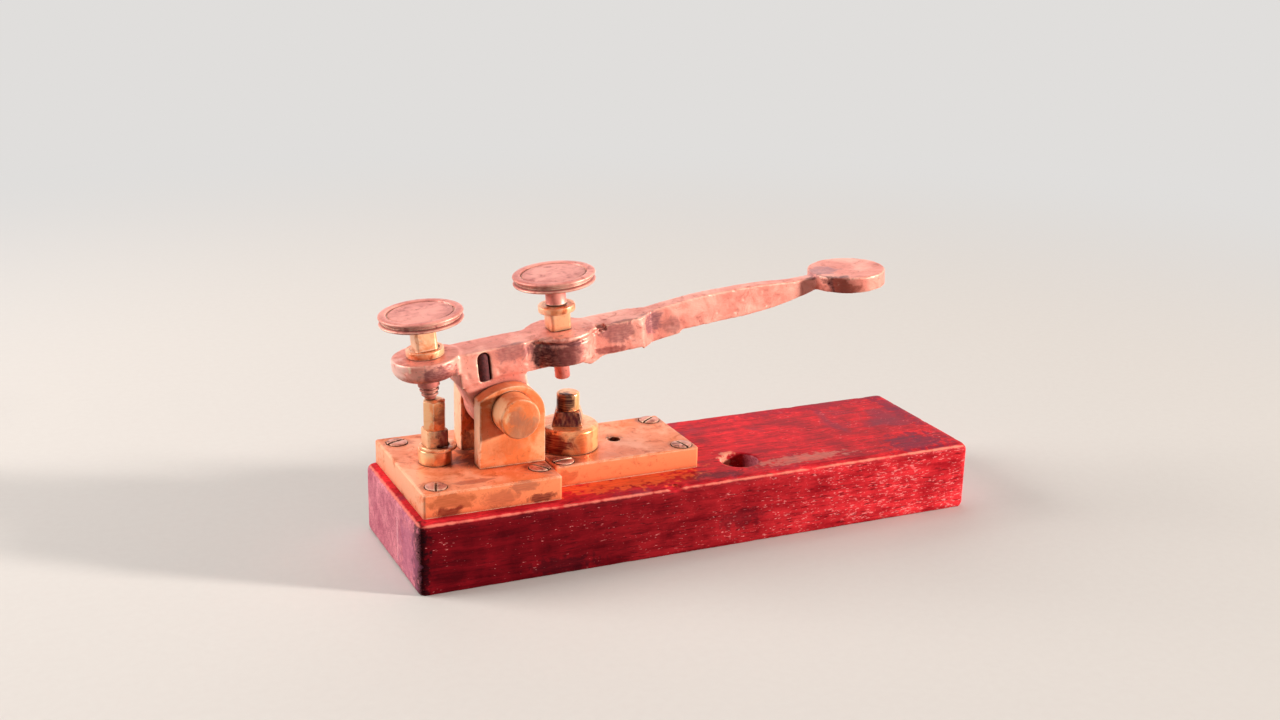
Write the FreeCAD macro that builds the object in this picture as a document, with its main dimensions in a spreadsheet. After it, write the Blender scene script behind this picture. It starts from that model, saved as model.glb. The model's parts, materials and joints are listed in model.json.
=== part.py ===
import FreeCAD, Part

import math
import os
import re

import Sketcher

# A lever telegraph key of the 1840s, in millimetres. A long brass lever with a finger disc turns
# on a stout axle between two ears. Its rear thumbscrew rests on a back stop, and its front
# thumbscrew closes on an anvil when the disc is pressed. The ears and the back stop stand on one
# brass plate, the anvil on another, and both plates are screwed to a wooden block.
#
# The origin is the middle of the block's underside: +X runs along the lever to the finger disc,
# +Y away from the person at the key's front edge, +Z up. What the lever carries is drawn in the
# lever's own frame, which starts on the pivot axis and leans back by the rest tilt.

Vector = FreeCAD.Vector
UP = Vector(0, 0, 1)
UP_TO_BACK = FreeCAD.Rotation(Vector(1, 0, 0), -90)
UP_TO_FRONT = FreeCAD.Rotation(Vector(1, 0, 0), 90)
PARTS_FOLDER = "parts"
SAME_PLACE = 0.01

SIZES = [
    ("block_length", 178.0, "wooden block, along X"),
    ("block_width", 52.0, "wooden block, along Y"),
    ("block_height", 21.0, "wooden block, along Z"),
    ("block_corner", 2.0, "radius of the block's upright corners"),
    ("block_bevel", 1.0, "bevel along the block's top edges"),
    ("works_offset", 1.5, "how far the works stand behind the block's centre line"),
    ("fixing_hole_reach", 104.3, "holding-down hole, from the block's left end"),
    ("fixing_hole_inset", 13.5, "holding-down hole, from the block's front face"),
    ("fixing_hole_diameter", 5.2, "holding-down hole"),
    ("fixing_sink_diameter", 11.5, "counterbore of the holding-down hole"),
    ("fixing_sink_depth", 9.0, "counterbore of the holding-down hole"),

    ("pivot_plate_margin", 2.7, "from the block's left end to the pivot plate"),
    ("pivot_plate_length", 40.6, "pivot plate, along X"),
    ("pivot_plate_width", 47.0, "pivot plate, along Y"),
    ("pivot_plate_thickness", 7.0, "pivot plate"),
    ("plate_gap", 1.1, "air gap that parts the two plates"),
    ("contact_plate_length", 45.6, "contact plate, along X"),
    ("contact_plate_width", 30.0, "contact plate, along Y"),
    ("contact_plate_thickness", 6.4, "contact plate"),
    ("plate_corner", 0.8, "radius of the plates' upright corners"),
    ("plate_bevel", 0.4, "bevel along the plates' top edges"),
    ("wire_hole_reach", 24.8, "wire hole, from the contact plate's left end"),
    ("wire_hole_diameter", 4.0, "wire hole"),

    ("screw_head_diameter", 6.6, "wood screws that hold the plates"),
    ("screw_head_depth", 2.2, "their countersunk heads"),
    ("screw_shank_diameter", 3.4, "their shanks"),
    ("screw_length", 16.0, "their whole length"),
    ("screw_point_length", 3.0, "their tapered points"),
    ("screw_point_diameter", 0.8, "the blunt end of the points"),
    ("screw_slot_width", 0.9, "their slots"),
    ("screw_slot_depth", 0.9, "their slots"),
    ("screw_fit", 0.05, "clearance round the screws"),
    ("pivot_screw_left_inset", 5.2, "left pair, from the pivot plate's left end"),
    ("pivot_screw_left_spread", 37.0, "left pair, across the plate"),
    ("pivot_screw_right_inset", 3.7, "right pair, from the pivot plate's right end"),
    ("pivot_screw_right_spread", 30.4, "right pair, across the plate"),
    ("contact_screw_inset", 4.0, "both pairs, from the contact plate's ends"),
    ("contact_screw_spread", 23.0, "both pairs, across the plate"),

    ("ear_margin", 0.2, "from the ears' right faces to the pivot plate's right end"),
    ("ear_width", 19.7, "ears, along X"),
    ("ear_height", 23.5, "ears, from the plate to the crown"),
    ("ear_right_radius", 9.05, "round right shoulder of the ears"),
    ("ear_left_radius", 17.0, "flatter left shoulder of the ears"),
    ("front_ear_thickness", 4.8, "front ear"),
    ("back_ear_thickness", 6.4, "back ear"),
    ("ear_gap", 11.4, "between the ears"),
    ("ear_screw_diameter", 3.0, "screws that come up through the plate into the ears"),
    ("ear_screw_head_diameter", 4.4, "their cheese heads, sunk in the plate's underside"),
    ("ear_screw_head_height", 2.0, "their cheese heads"),
    ("ear_screw_reach", 8.0, "how far they go up into the ears"),
    ("ear_screw_inset", 4.2, "from the ears' ends to their screws"),

    ("pivot_inset", 10.2, "pivot axis, from the ears' right faces"),
    ("pivot_height", 16.2, "pivot axis, above the pivot plate"),
    ("rest_tilt", 5.6, "degrees that the lever leans back at rest"),
    ("axle_diameter", 11.8, "axle"),
    ("axle_fit", 0.05, "running clearance of the axle in the ears"),
    ("axle_seat", 0.01, "clearance of the axle where the hub grips it"),
    ("axle_front_overhang", 7.5, "axle, in front of the front ear"),
    ("axle_back_overhang", 2.0, "axle, behind the back ear"),
    ("axle_bevel", 0.4, "bevel of the axle's ends"),
    ("hub_diameter", 18.0, "round hub between the ears"),
    ("hub_side_gap", 0.2, "clearance each side of the hub"),
    ("spring_flat_drop", 6.8, "flat under the hub for the spring, below the pivot axis"),
    ("spring_flat_start", 1.0, "where that flat starts, right of the pivot axis"),

    ("screw_arm", 20.0, "from the pivot axis to either thumbscrew"),
    ("bar_width", 11.0, "thick part of the lever"),
    ("bar_top", 17.6, "its top, above the pivot axis"),
    ("rear_arm_bottom", 12.3, "underside behind the hub"),
    ("bar_bottom", 8.5, "underside in front of the hub"),
    ("bar_end", 44.0, "where the bar starts to narrow"),
    ("shoulder_length", 4.0, "how long it takes to narrow"),
    ("lump_reach", 27.1, "lowest point of the lump under the bar"),
    ("lump_drop", 1.8, "how far the lump hangs below the bar"),
    ("lump_half_length", 4.2, "the lump, each way along the bar"),
    ("rear_boss_diameter", 19.4, "boss of the rear thumbscrew"),
    ("rear_boss_bottom", 12.1, "its underside, above the pivot axis"),
    ("rear_boss_top", 18.0, "its top"),
    ("front_boss_diameter", 20.4, "boss of the front thumbscrew"),
    ("front_boss_bottom", 9.3, "its underside, above the pivot axis"),
    ("front_boss_top", 17.8, "its top"),
    ("neck_width", 11.6, "block of the lever above the ears"),
    ("neck_left", 12.4, "its left face, from the pivot axis"),
    ("neck_right", 7.6, "its right face, from the pivot axis"),
    ("neck_left_bottom", 7.5, "its underside at the left"),
    ("neck_right_bottom", 8.9, "its underside at the right"),
    ("neck_arch_radius", 63.0, "the hollow of its underside"),
    ("neck_overlap", 0.6, "how far bar and web run into the neck"),
    ("web_right", 7.3, "web between neck and hub, right of the axis"),
    ("web_left", 8.8, "web at the axis, left of it"),
    ("belly_bottom", 7.9, "deep start of the handle, underside"),
    ("belly_end", 57.2, "where the belly ends"),
    ("belly_end_bottom", 9.2, "underside there"),
    ("handle_start", 58.0, "where the slim handle starts"),
    ("handle_bottom", 10.2, "its underside at the start"),
    ("handle_curve_start", 74.0, "where its underside starts to rise"),
    ("handle_under_radius", 124.0, "curve of the rising underside"),
    ("handle_crest_end", 96.0, "where the crested top ends"),
    ("handle_crest_radius", 216.0, "curve of the crested top"),
    ("handle_end_bottom", 14.1, "underside where the handle joins the disc"),
    ("handle_end_top", 17.8, "top where the handle joins the disc"),
    ("handle_width", 5.2, "handle at the bar"),
    ("handle_end_width", 4.0, "handle at the disc"),
    ("disc_reach", 115.8, "finger disc, from the pivot axis"),
    ("disc_diameter", 23.8, "finger disc"),
    ("disc_thickness", 4.8, "finger disc"),
    ("disc_top", 18.0, "its top, above the pivot axis"),
    ("disc_tilt", 2.6, "degrees that the disc leans forward of the bar"),
    ("disc_overlap", 2.2, "how far the handle runs into the disc"),

    ("key_reach", 5.0, "iron key in the neck's front face, left of the axis"),
    ("key_diameter", 3.4, "iron key"),
    ("key_slot_fit", 0.1, "clearance round the key"),
    ("key_slot_top", 17.0, "top of its slot, above the pivot axis"),
    ("key_slot_bottom", 8.6, "bottom of its slot"),

    ("thread_diameter", 4.4, "thumbscrews and studs"),
    ("thread_fit", 0.05, "clearance round the threads"),
    ("collar_diameter", 6.3, "plain collar under the thumbscrews' heads"),
    ("collar_gap", 0.2, "between the collars and the lock nuts"),
    ("thumb_diameter", 23.8, "thumbscrew heads"),
    ("thumb_thickness", 3.1, "thumbscrew heads"),
    ("thumb_groove_width", 0.8, "groove round the rim"),
    ("thumb_groove_depth", 0.8, "groove round the rim"),
    ("thumb_bevel", 0.35, "bevel of the rims"),
    ("thumb_rim", 2.4, "flat rim round the dished top"),
    ("thumb_dish", 0.4, "depth of the dish"),
    ("rear_head_rise", 9.7, "rear head's underside, above its boss"),
    ("front_head_rise", 13.7, "front head's underside, above its boss"),
    ("nose_diameter", 6.2, "ferrule on the end of the rear thumbscrew"),
    ("nose_tip_diameter", 3.1, "its tip"),
    ("nose_taper", 3.2, "length of its taper"),
    ("nose_dome", 0.5, "height of its domed tip"),
    ("nose_gap", 0.3, "between the ferrule and the boss"),
    ("contact_dome", 4.0, "radius of the front thumbscrew's domed end"),
    ("rest_gap", 0.05, "left between the ferrule and the back stop"),
    ("contact_gap", 4.2, "between the front thumbscrew and the anvil at rest"),

    ("nut_flats", 6.3, "square nuts, across the flats"),
    ("lock_nut_height", 5.3, "square part of the lock nuts"),
    ("lock_flange_diameter", 10.7, "flange of the lock nuts"),
    ("lock_flange_height", 2.0, "flange of the lock nuts"),
    ("nut_chamfer", 0.5, "turned corners of the square nuts"),

    ("back_stop_shift", 0.6, "back stop, right of the rear thumbscrew's foot"),
    ("stop_collar_diameter", 9.5, "collar at the foot of the back stop"),
    ("stop_collar_height", 4.3, "collar at the foot of the back stop"),
    ("stop_washer_diameter", 10.7, "washer on the collar"),
    ("stop_washer_height", 0.9, "washer on the collar"),
    ("stop_washer_shift", 1.0, "how far the loose washer has slid to the right"),
    ("stop_nut_height", 4.9, "square nut of the back stop"),
    ("stop_nut_turn", 4.0, "degrees that the nut is turned"),
    ("stop_pillar_flats", 5.9, "six-sided head of the stud, across the flats"),
    ("stop_pillar_height", 8.9, "six-sided head of the stud"),
    ("stop_pillar_turn", 9.0, "degrees that the head is turned"),
    ("stop_crown_height", 0.7, "bevelled crown of the head"),
    ("stop_crown_diameter", 4.2, "flat on top of the crown"),
    ("stop_scoop_radius", 2.6, "worn hollow beside the crown"),
    ("stop_scoop_depth", 0.7, "worn hollow beside the crown"),
    ("stop_scoop_drop", 1.7, "middle of the hollow, below the top"),

    ("anvil_shift", 1.5, "anvil, right of the front thumbscrew's foot"),
    ("anvil_collar_diameter", 18.0, "broad collar under the anvil"),
    ("anvil_collar_height", 7.4, "broad collar under the anvil"),
    ("anvil_collar_bevel", 0.8, "bevel of its rim"),
    ("anvil_nut_top", 7.0, "tapered nut, across the flats at the top"),
    ("anvil_nut_bottom", 9.0, "tapered nut, across the flats at the bottom"),
    ("anvil_nut_height", 4.0, "tapered nut"),
    ("anvil_nut_turn", -25.0, "degrees that the tapered nut is turned"),
    ("anvil_pillar_diameter", 6.7, "head of the anvil's stud"),
    ("anvil_pillar_height", 5.4, "head of the anvil's stud"),
    ("anvil_bevel", 0.4, "bevel of the head"),
    ("stud_end_gap", 0.5, "studs stop short of the wood by this"),

    ("spring_diameter", 4.8, "return spring, outside"),
    ("spring_wire", 0.6, "return spring, wire"),
    ("spring_turns", 6, "return spring, turns"),
    ("spring_reach", 4.5, "where it presses the hub's flat, from the pivot axis"),
    ("spring_gap", 0.3, "left between the spring and the flat"),
]

# Places that follow from the sizes. Each is written out in full wherever it is used.
PLACES = {
    "block_left": "-block_length / 2",
    "block_front": "-block_width / 2",
    "pivot_plate_left": "block_left + pivot_plate_margin",
    "pivot_plate_right": "pivot_plate_left + pivot_plate_length",
    "pivot_plate_top": "block_height + pivot_plate_thickness",
    "contact_plate_left": "pivot_plate_right + plate_gap",
    "contact_plate_right": "contact_plate_left + contact_plate_length",
    "contact_plate_top": "block_height + contact_plate_thickness",
    "ears_right": "pivot_plate_right - ear_margin",
    "ears_left": "ears_right - ear_width",
    "front_ear_front": "works_offset - ear_gap / 2 - front_ear_thickness",
    "front_ear_middle": "works_offset - ear_gap / 2 - front_ear_thickness / 2",
    "back_ear_front": "works_offset + ear_gap / 2",
    "back_ear_middle": "works_offset + ear_gap / 2 + back_ear_thickness / 2",
    "pivot_x": "ears_right - pivot_inset",
    "pivot_z": "pivot_plate_top + pivot_height",
    "tilt_cos": "cos(rest_tilt * 1 deg)",
    "tilt_sin": "sin(rest_tilt * 1 deg)",
    "hub_width": "ear_gap - 2 * hub_side_gap",
    "back_stop_x": "pivot_x - screw_arm * tilt_cos + back_stop_shift",
    "back_stop_top": "pivot_plate_top + stop_collar_height + stop_washer_height"
                     " + stop_nut_height + stop_pillar_height",
    "anvil_x": "pivot_x + screw_arm * tilt_cos + anvil_shift",
    "anvil_top": "contact_plate_top + anvil_collar_height + anvil_nut_height + anvil_pillar_height",
    "rear_tip": "(back_stop_top + rest_gap - pivot_z + screw_arm * tilt_sin) / tilt_cos",
    "front_tip": "(anvil_top + contact_gap - pivot_z - screw_arm * tilt_sin) / tilt_cos",
    "thread_hole": "thread_diameter / 2 + thread_fit",
    "lock_nut_total": "lock_nut_height + lock_flange_height",
    "handle_end": "disc_reach - disc_diameter / 2 + disc_overlap",
    "neck_front": "-neck_width / 2",
    "key_slot_width": "key_diameter + 2 * key_slot_fit",
    "key_middle": "neck_front + key_diameter / 2",
    "stop_pillar_radius": "stop_pillar_flats / 2 / cos(30 deg)",
}

WORD = re.compile(r"[a-z]+(?:_[a-z]+)+")

doc = FreeCAD.newDocument("TelegraphKey")
sheet = doc.addObject("Spreadsheet::Sheet", "Sizes")
for row, (alias, value, meaning) in enumerate(SIZES, 1):
    sheet.set(f"A{row}", meaning)
    sheet.set(f"B{row}", str(value))
    sheet.setAlias(f"B{row}", alias)
doc.recompute()

nodes = []


# Names, numbers and links to the sheet

def full(text):
    """The text with every place written out and every size found on the sheet."""
    def swap(match):
        word = match.group(0)
        if word in PLACES:
            return "(" + full(PLACES[word]) + ")"
        return "Sizes." + word
    return WORD.sub(swap, str(text))


def number(text):
    """What the text comes to with the sheet's present numbers."""
    result = sheet.evalExpression(full(text))
    return float(getattr(result, "Value", result))


def bind(thing, path, text):
    thing.setExpression(path, full(text))


def stand(thing, x, y, z, turn="0"):
    """Places a thing by texts for its three coordinates and a turn about the upright axis."""
    thing.Placement = FreeCAD.Placement(Vector(), FreeCAD.Rotation(UP, 0))
    for axis, text in (("x", x), ("y", y), ("z", z)):
        bind(thing, "Placement.Base." + axis, text)
    if turn != "0":
        bind(thing, "Placement.Rotation.Angle", f"{turn} * 1 deg")
    return thing


def lean(thing, along="0"):
    """Places a thing in the lever's frame, at a distance along the lever from the pivot axis."""
    lean_back = FreeCAD.Rotation(Vector(0, -1, 0), number("rest_tilt"))
    thing.Placement = FreeCAD.Placement(Vector(), lean_back)
    bind(thing, "Placement.Rotation.Angle", "rest_tilt * 1 deg")
    bind(thing, "Placement.Base.x", f"pivot_x + ({along}) * tilt_cos")
    bind(thing, "Placement.Base.y", "works_offset")
    bind(thing, "Placement.Base.z", f"pivot_z + ({along}) * tilt_sin")
    return thing


def node(thing, name):
    """Names a finished sub-part and puts it on the list that is written out."""
    thing.Label = name
    nodes.append(thing)
    return thing


# Simple solids and what joins them

def cylinder(name, radius, height):
    solid = doc.addObject("Part::Cylinder", name)
    bind(solid, "Radius", radius)
    bind(solid, "Height", height)
    return solid


def cross_cylinder(name, radius, front, length):
    """A cylinder that runs along +Y from the given front."""
    solid = cylinder(name, radius, length)
    solid.Placement = FreeCAD.Placement(Vector(), UP_TO_BACK)
    bind(solid, "Placement.Base.y", front)
    return solid


def cone(name, lower_radius, upper_radius, height):
    solid = doc.addObject("Part::Cone", name)
    bind(solid, "Radius1", lower_radius)
    bind(solid, "Radius2", upper_radius)
    bind(solid, "Height", height)
    return solid


def box(name, length, width, height):
    solid = doc.addObject("Part::Box", name)
    bind(solid, "Length", length)
    bind(solid, "Width", width)
    bind(solid, "Height", height)
    return solid


def cut(name, base, tool):
    result = doc.addObject("Part::Cut", name)
    result.Base = base
    result.Tool = tool
    return result


def fuse(name, shapes):
    result = doc.addObject("Part::MultiFuse", name)
    result.Shapes = shapes
    return result


def common(name, shapes):
    result = doc.addObject("Part::MultiCommon", name)
    result.Shapes = shapes
    return result


# Sketched outlines

def draw(sketch, corners, arcs=None):
    """Draws a closed outline whose corners and radii all follow the sheet.

    corners: (across, up) texts in walking order. arcs: for a side's number, its radius and +1
    where it bends left as it is walked, or -1 where it bends right.
    """
    arcs = arcs or {}
    spots = [Vector(number(across), number(up), 0) for across, up in corners]
    ends = []
    for side, here in enumerate(spots):
        there = spots[(side + 1) % len(spots)]
        if side not in arcs:
            sketch.addGeometry(Part.LineSegment(here, there), False)
            ends.append((1, 2))
            continue
        radius, bend = arcs[side]
        reach = number(radius)
        chord = there - here
        left = Vector(-chord.y, chord.x, 0).normalize()
        rise = math.sqrt(max(reach ** 2 - chord.Length ** 2 / 4, 0))
        centre = (here + there) * 0.5 + left * (bend * rise)
        first = here if bend > 0 else there
        last = there if bend > 0 else here
        circle = Part.Circle(centre, UP, reach)
        start = math.atan2(first.y - centre.y, first.x - centre.x)
        stop = math.atan2(last.y - centre.y, last.x - centre.x)
        sketch.addGeometry(Part.ArcOfCircle(circle, start, stop), False)
        ends.append((1, 2) if bend > 0 else (2, 1))
    for side, (across, up) in enumerate(corners):
        after = (side + 1) % len(corners)
        begin = ends[side][0]
        link = Sketcher.Constraint("Coincident", side, ends[side][1], after, ends[after][0])
        sketch.addConstraint(link)
        for kind, text in (("DistanceX", across), ("DistanceY", up)):
            rule = Sketcher.Constraint(kind, -1, 1, side, begin, number(text))
            bind(sketch, f"Constraints[{sketch.addConstraint(rule)}]", text)
    for side, (radius, bend) in arcs.items():
        rule = Sketcher.Constraint("Radius", side, number(radius))
        bind(sketch, f"Constraints[{sketch.addConstraint(rule)}]", radius)
    return sketch


def rounded_oblong(length, width, corner):
    """Corners and arcs of an oblong with round corners, from its own left front corner."""
    corners = [
        (corner, "0"),
        (f"{length} - {corner}", "0"),
        (length, corner),
        (length, f"{width} - {corner}"),
        (f"{length} - {corner}", width),
        (corner, width),
        ("0", f"{width} - {corner}"),
        ("0", corner),
    ]
    arcs = {side: (corner, 1) for side in (1, 3, 5, 7)}
    return corners, arcs


def body_sketch(body, role, name):
    """An empty sketch on one of the body's own origin planes."""
    sketch = body.newObject("Sketcher::SketchObject", name)
    plane = next(item for item in body.Origin.OriginFeatures if item.Role == role)
    sketch.AttachmentSupport = (plane, [""])
    sketch.MapMode = "FlatFace"
    return sketch


def padded(name, role, length, corners, arcs=None):
    """A body with one pad: along +Z from its XY plane, or along -Y from its XZ plane."""
    body = doc.addObject("PartDesign::Body", name)
    sketch = draw(body_sketch(body, role, name + "_outline"), corners, arcs)
    pad = body.newObject("PartDesign::Pad", name + "_pad")
    pad.Profile = sketch
    bind(pad, "Length", length)
    body.Tip = pad
    return body


def turned(name, corners, arcs=None):
    """A body turned about its own Z axis from half its section, given as (radius, height)."""
    body = doc.addObject("PartDesign::Body", name)
    sketch = draw(body_sketch(body, "XZ_Plane", name + "_section"), corners, arcs)
    turning = body.newObject("PartDesign::Revolution", name + "_turning")
    turning.Profile = sketch
    turning.ReferenceAxis = (sketch, ["V_Axis"])
    turning.Angle = 360
    body.Tip = turning
    return body


def bevelled_slab(name, length, width, height, corner, bevel):
    """A slab with round upright corners and a bevel along its top edges."""
    corners, arcs = rounded_oblong(length, width, corner)
    body = padded(name, "XY_Plane", height, corners, arcs)
    doc.recompute()
    pad = body.Tip
    top = number(height)
    edges = [
        f"Edge{index}"
        for index, edge in enumerate(pad.Shape.Edges, 1)
        if edge.BoundBox.ZMin > top - SAME_PLACE
    ]
    chamfer = body.newObject("PartDesign::Chamfer", name + "_bevel")
    chamfer.Base = (pad, edges)
    bind(chamfer, "Size", bevel)
    body.Tip = chamfer
    return body


def extruded(name, facing, low, length, corners, arcs=None):
    """A solid drawn from one side: facing "side" spans Y about the middle, "above" spans Z."""
    sketch = draw(doc.addObject("Sketcher::SketchObject", name + "_outline"), corners, arcs)
    solid = doc.addObject("Part::Extrusion", name)
    solid.Base = sketch
    solid.DirMode = "Normal"
    solid.Solid = True
    bind(solid, "LengthFwd", length)
    if facing == "side":
        sketch.Placement = FreeCAD.Placement(Vector(), UP_TO_FRONT)
        solid.Symmetric = True
    else:
        bind(sketch, "Placement.Base.z", low)
    return solid


# Wood screws that hold the plates to the block

def screw_form(name, grow):
    """A countersunk wood screw with its head flush at zero; grow widens it for its hole."""
    shank_radius = f"screw_shank_diameter / 2 + {grow}"
    head = cone(name + "_head", shank_radius, f"screw_head_diameter / 2 + {grow}",
                "screw_head_depth")
    stand(head, "0", "0", "-screw_head_depth")
    shank = cylinder(name + "_shank", shank_radius,
                     "screw_length - screw_head_depth - screw_point_length")
    stand(shank, "0", "0", "screw_point_length - screw_length")
    point = cone(name + "_point", f"screw_point_diameter / 2 + {grow}", shank_radius,
                 "screw_point_length")
    stand(point, "0", "0", "-screw_length")
    return fuse(name, [head, shank, point])


def slotted_screw(name):
    slot = box(name + "_slot", "screw_head_diameter", "screw_slot_width", "screw_slot_depth")
    stand(slot, "-screw_head_diameter / 2", "-screw_slot_width / 2", "-screw_slot_depth")
    return cut(name, screw_form(name + "_form", "0"), slot)


def screw_set(name, top, places):
    """One node of screws, and the holes that they need: places are (x, y, turn) texts."""
    screws = []
    holes = []
    for index, (x, y, turn) in enumerate(places, 1):
        screws.append(stand(slotted_screw(f"{name}_{index}"), x, y, top, turn))
        holes.append(stand(screw_form(f"{name}_hole_{index}", "screw_fit"), x, y, top))
    group = doc.addObject("Part::Compound", name)
    group.Links = screws
    node(group, name)
    return holes


pivot_left = "pivot_plate_left + pivot_screw_left_inset"
pivot_right = "pivot_plate_right - pivot_screw_right_inset"
pivot_screw_holes = screw_set("pivot_plate_screws", "pivot_plate_top", [
    (pivot_left, "works_offset - pivot_screw_left_spread / 2", "72"),
    (pivot_left, "works_offset + pivot_screw_left_spread / 2", "20"),
    (pivot_right, "works_offset - pivot_screw_right_spread / 2", "125"),
    (pivot_right, "works_offset + pivot_screw_right_spread / 2", "48"),
])

contact_left = "contact_plate_left + contact_screw_inset"
contact_right = "contact_plate_right - contact_screw_inset"
contact_screw_holes = screw_set("contact_plate_screws", "contact_plate_top", [
    (contact_left, "works_offset - contact_screw_spread / 2", "8"),
    (contact_left, "works_offset + contact_screw_spread / 2", "66"),
    (contact_right, "works_offset - contact_screw_spread / 2", "102"),
    (contact_right, "works_offset + contact_screw_spread / 2", "35"),
])


# Screws that come up through the pivot plate into the ears

def ear_screw(name, grow):
    """A cheese-headed screw, head down, that starts at the plate's underside."""
    head = cylinder(name + "_head", f"ear_screw_head_diameter / 2 + {grow}",
                    "ear_screw_head_height")
    shank = cylinder(name + "_shank", f"ear_screw_diameter / 2 + {grow}",
                     "pivot_plate_thickness + ear_screw_reach")
    return fuse(name, [head, shank])


ear_screw_places = [
    (x, y)
    for x in ("ears_left + ear_screw_inset", "ears_right - ear_screw_inset")
    for y in ("front_ear_middle", "back_ear_middle")
]
ear_screws = []
ear_screw_holes = []
for index, (x, y) in enumerate(ear_screw_places, 1):
    ear_screws.append(stand(ear_screw(f"ear_screw_{index}", "0"), x, y, "block_height"))
    ear_screw_holes.append(
        stand(ear_screw(f"ear_screw_hole_{index}", "screw_fit"), x, y, "block_height"))
ear_screw_group = doc.addObject("Part::Compound", "ear_screws")
ear_screw_group.Links = ear_screws
node(ear_screw_group, "ear_screws")

# Wooden block with its counterbored holding-down hole

block = bevelled_slab("block_blank", "block_length", "block_width", "block_height",
                      "block_corner", "block_bevel")
stand(block, "block_left", "block_front", "0")
fixing_x = "block_left + fixing_hole_reach"
fixing_y = "block_front + fixing_hole_inset"
fixing_hole = stand(cylinder("fixing_hole", "fixing_hole_diameter / 2", "block_height"),
                    fixing_x, fixing_y, "0")
fixing_sink = stand(cylinder("fixing_sink", "fixing_sink_diameter / 2", "fixing_sink_depth"),
                    fixing_x, fixing_y, "block_height - fixing_sink_depth")
block_holes = fuse("block_holes", pivot_screw_holes + contact_screw_holes
                   + [fixing_hole, fixing_sink])
node(cut("base_block", block, block_holes), "base_block")

# Brass plates

pivot_slab = bevelled_slab("pivot_slab", "pivot_plate_length", "pivot_plate_width",
                           "pivot_plate_thickness", "plate_corner", "plate_bevel")
stand(pivot_slab, "pivot_plate_left", "works_offset - pivot_plate_width / 2", "block_height")
stop_stud_hole = stand(cylinder("stop_stud_hole", "thread_hole", "pivot_plate_thickness"),
                       "back_stop_x", "works_offset", "block_height")
pivot_plate_holes = fuse("pivot_plate_holes",
                         pivot_screw_holes + ear_screw_holes + [stop_stud_hole])
node(cut("pivot_plate", pivot_slab, pivot_plate_holes), "pivot_plate")

contact_slab = bevelled_slab("contact_slab", "contact_plate_length", "contact_plate_width",
                             "contact_plate_thickness", "plate_corner", "plate_bevel")
stand(contact_slab, "contact_plate_left", "works_offset - contact_plate_width / 2",
      "block_height")
anvil_stud_hole = stand(cylinder("anvil_stud_hole", "thread_hole", "contact_plate_thickness"),
                        "anvil_x", "works_offset", "block_height")
wire_hole = stand(cylinder("wire_hole", "wire_hole_diameter / 2", "contact_plate_thickness"),
                  "contact_plate_left + wire_hole_reach", "works_offset", "block_height")
contact_plate_holes = fuse("contact_plate_holes",
                           contact_screw_holes + [anvil_stud_hole, wire_hole])
node(cut("contact_plate", contact_slab, contact_plate_holes), "contact_plate")


# Ears that carry the axle

def ear(name, thickness, front):
    """An upright ear with a round right shoulder, a flatter left one and the axle's bearing."""
    crown = "ear_width - ear_right_radius"
    left_shoulder = f"ear_height - ear_left_radius + sqrt(ear_left_radius ^ 2 - ({crown}) ^ 2)"
    corners = [
        ("0", "0"),
        ("ear_width", "0"),
        ("ear_width", "ear_height - ear_right_radius"),
        (crown, "ear_height"),
        ("0", left_shoulder),
    ]
    arcs = {2: ("ear_right_radius", 1), 3: ("ear_left_radius", 1)}
    blank = padded(name + "_blank", "XZ_Plane", thickness, corners, arcs)
    stand(blank, "ears_left", f"{front} + {thickness}", "pivot_plate_top")
    bearing = cross_cylinder(name + "_bearing", "axle_diameter / 2 + axle_fit", front, thickness)
    bind(bearing, "Placement.Base.x", "pivot_x")
    bind(bearing, "Placement.Base.z", "pivot_z")
    return node(cut(name, blank, fuse(name + "_holes", [bearing] + ear_screw_holes)), name)


ear("front_ear", "front_ear_thickness", "front_ear_front")
ear("back_ear", "back_ear_thickness", "back_ear_front")

# Axle, held by the hub and turning in the ears

axle_front = "-ear_gap / 2 - front_ear_thickness - axle_front_overhang"
axle_length = ("ear_gap + front_ear_thickness + back_ear_thickness"
               " + axle_front_overhang + axle_back_overhang")
axle_rod = turned("axle_rod", [
    ("0", "0"),
    ("axle_diameter / 2 - axle_bevel", "0"),
    ("axle_diameter / 2", "axle_bevel"),
    ("axle_diameter / 2", f"{axle_length} - axle_bevel"),
    ("axle_diameter / 2 - axle_bevel", axle_length),
    ("0", axle_length),
])
axle_rod.Placement = FreeCAD.Placement(Vector(), UP_TO_BACK)
bind(axle_rod, "Placement.Base.x", "pivot_x")
bind(axle_rod, "Placement.Base.y", f"works_offset + {axle_front}")
bind(axle_rod, "Placement.Base.z", "pivot_z")
node(axle_rod, "axle")


# Lever: bar, bosses, neck, hub, handle and finger disc in one casting

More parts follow.
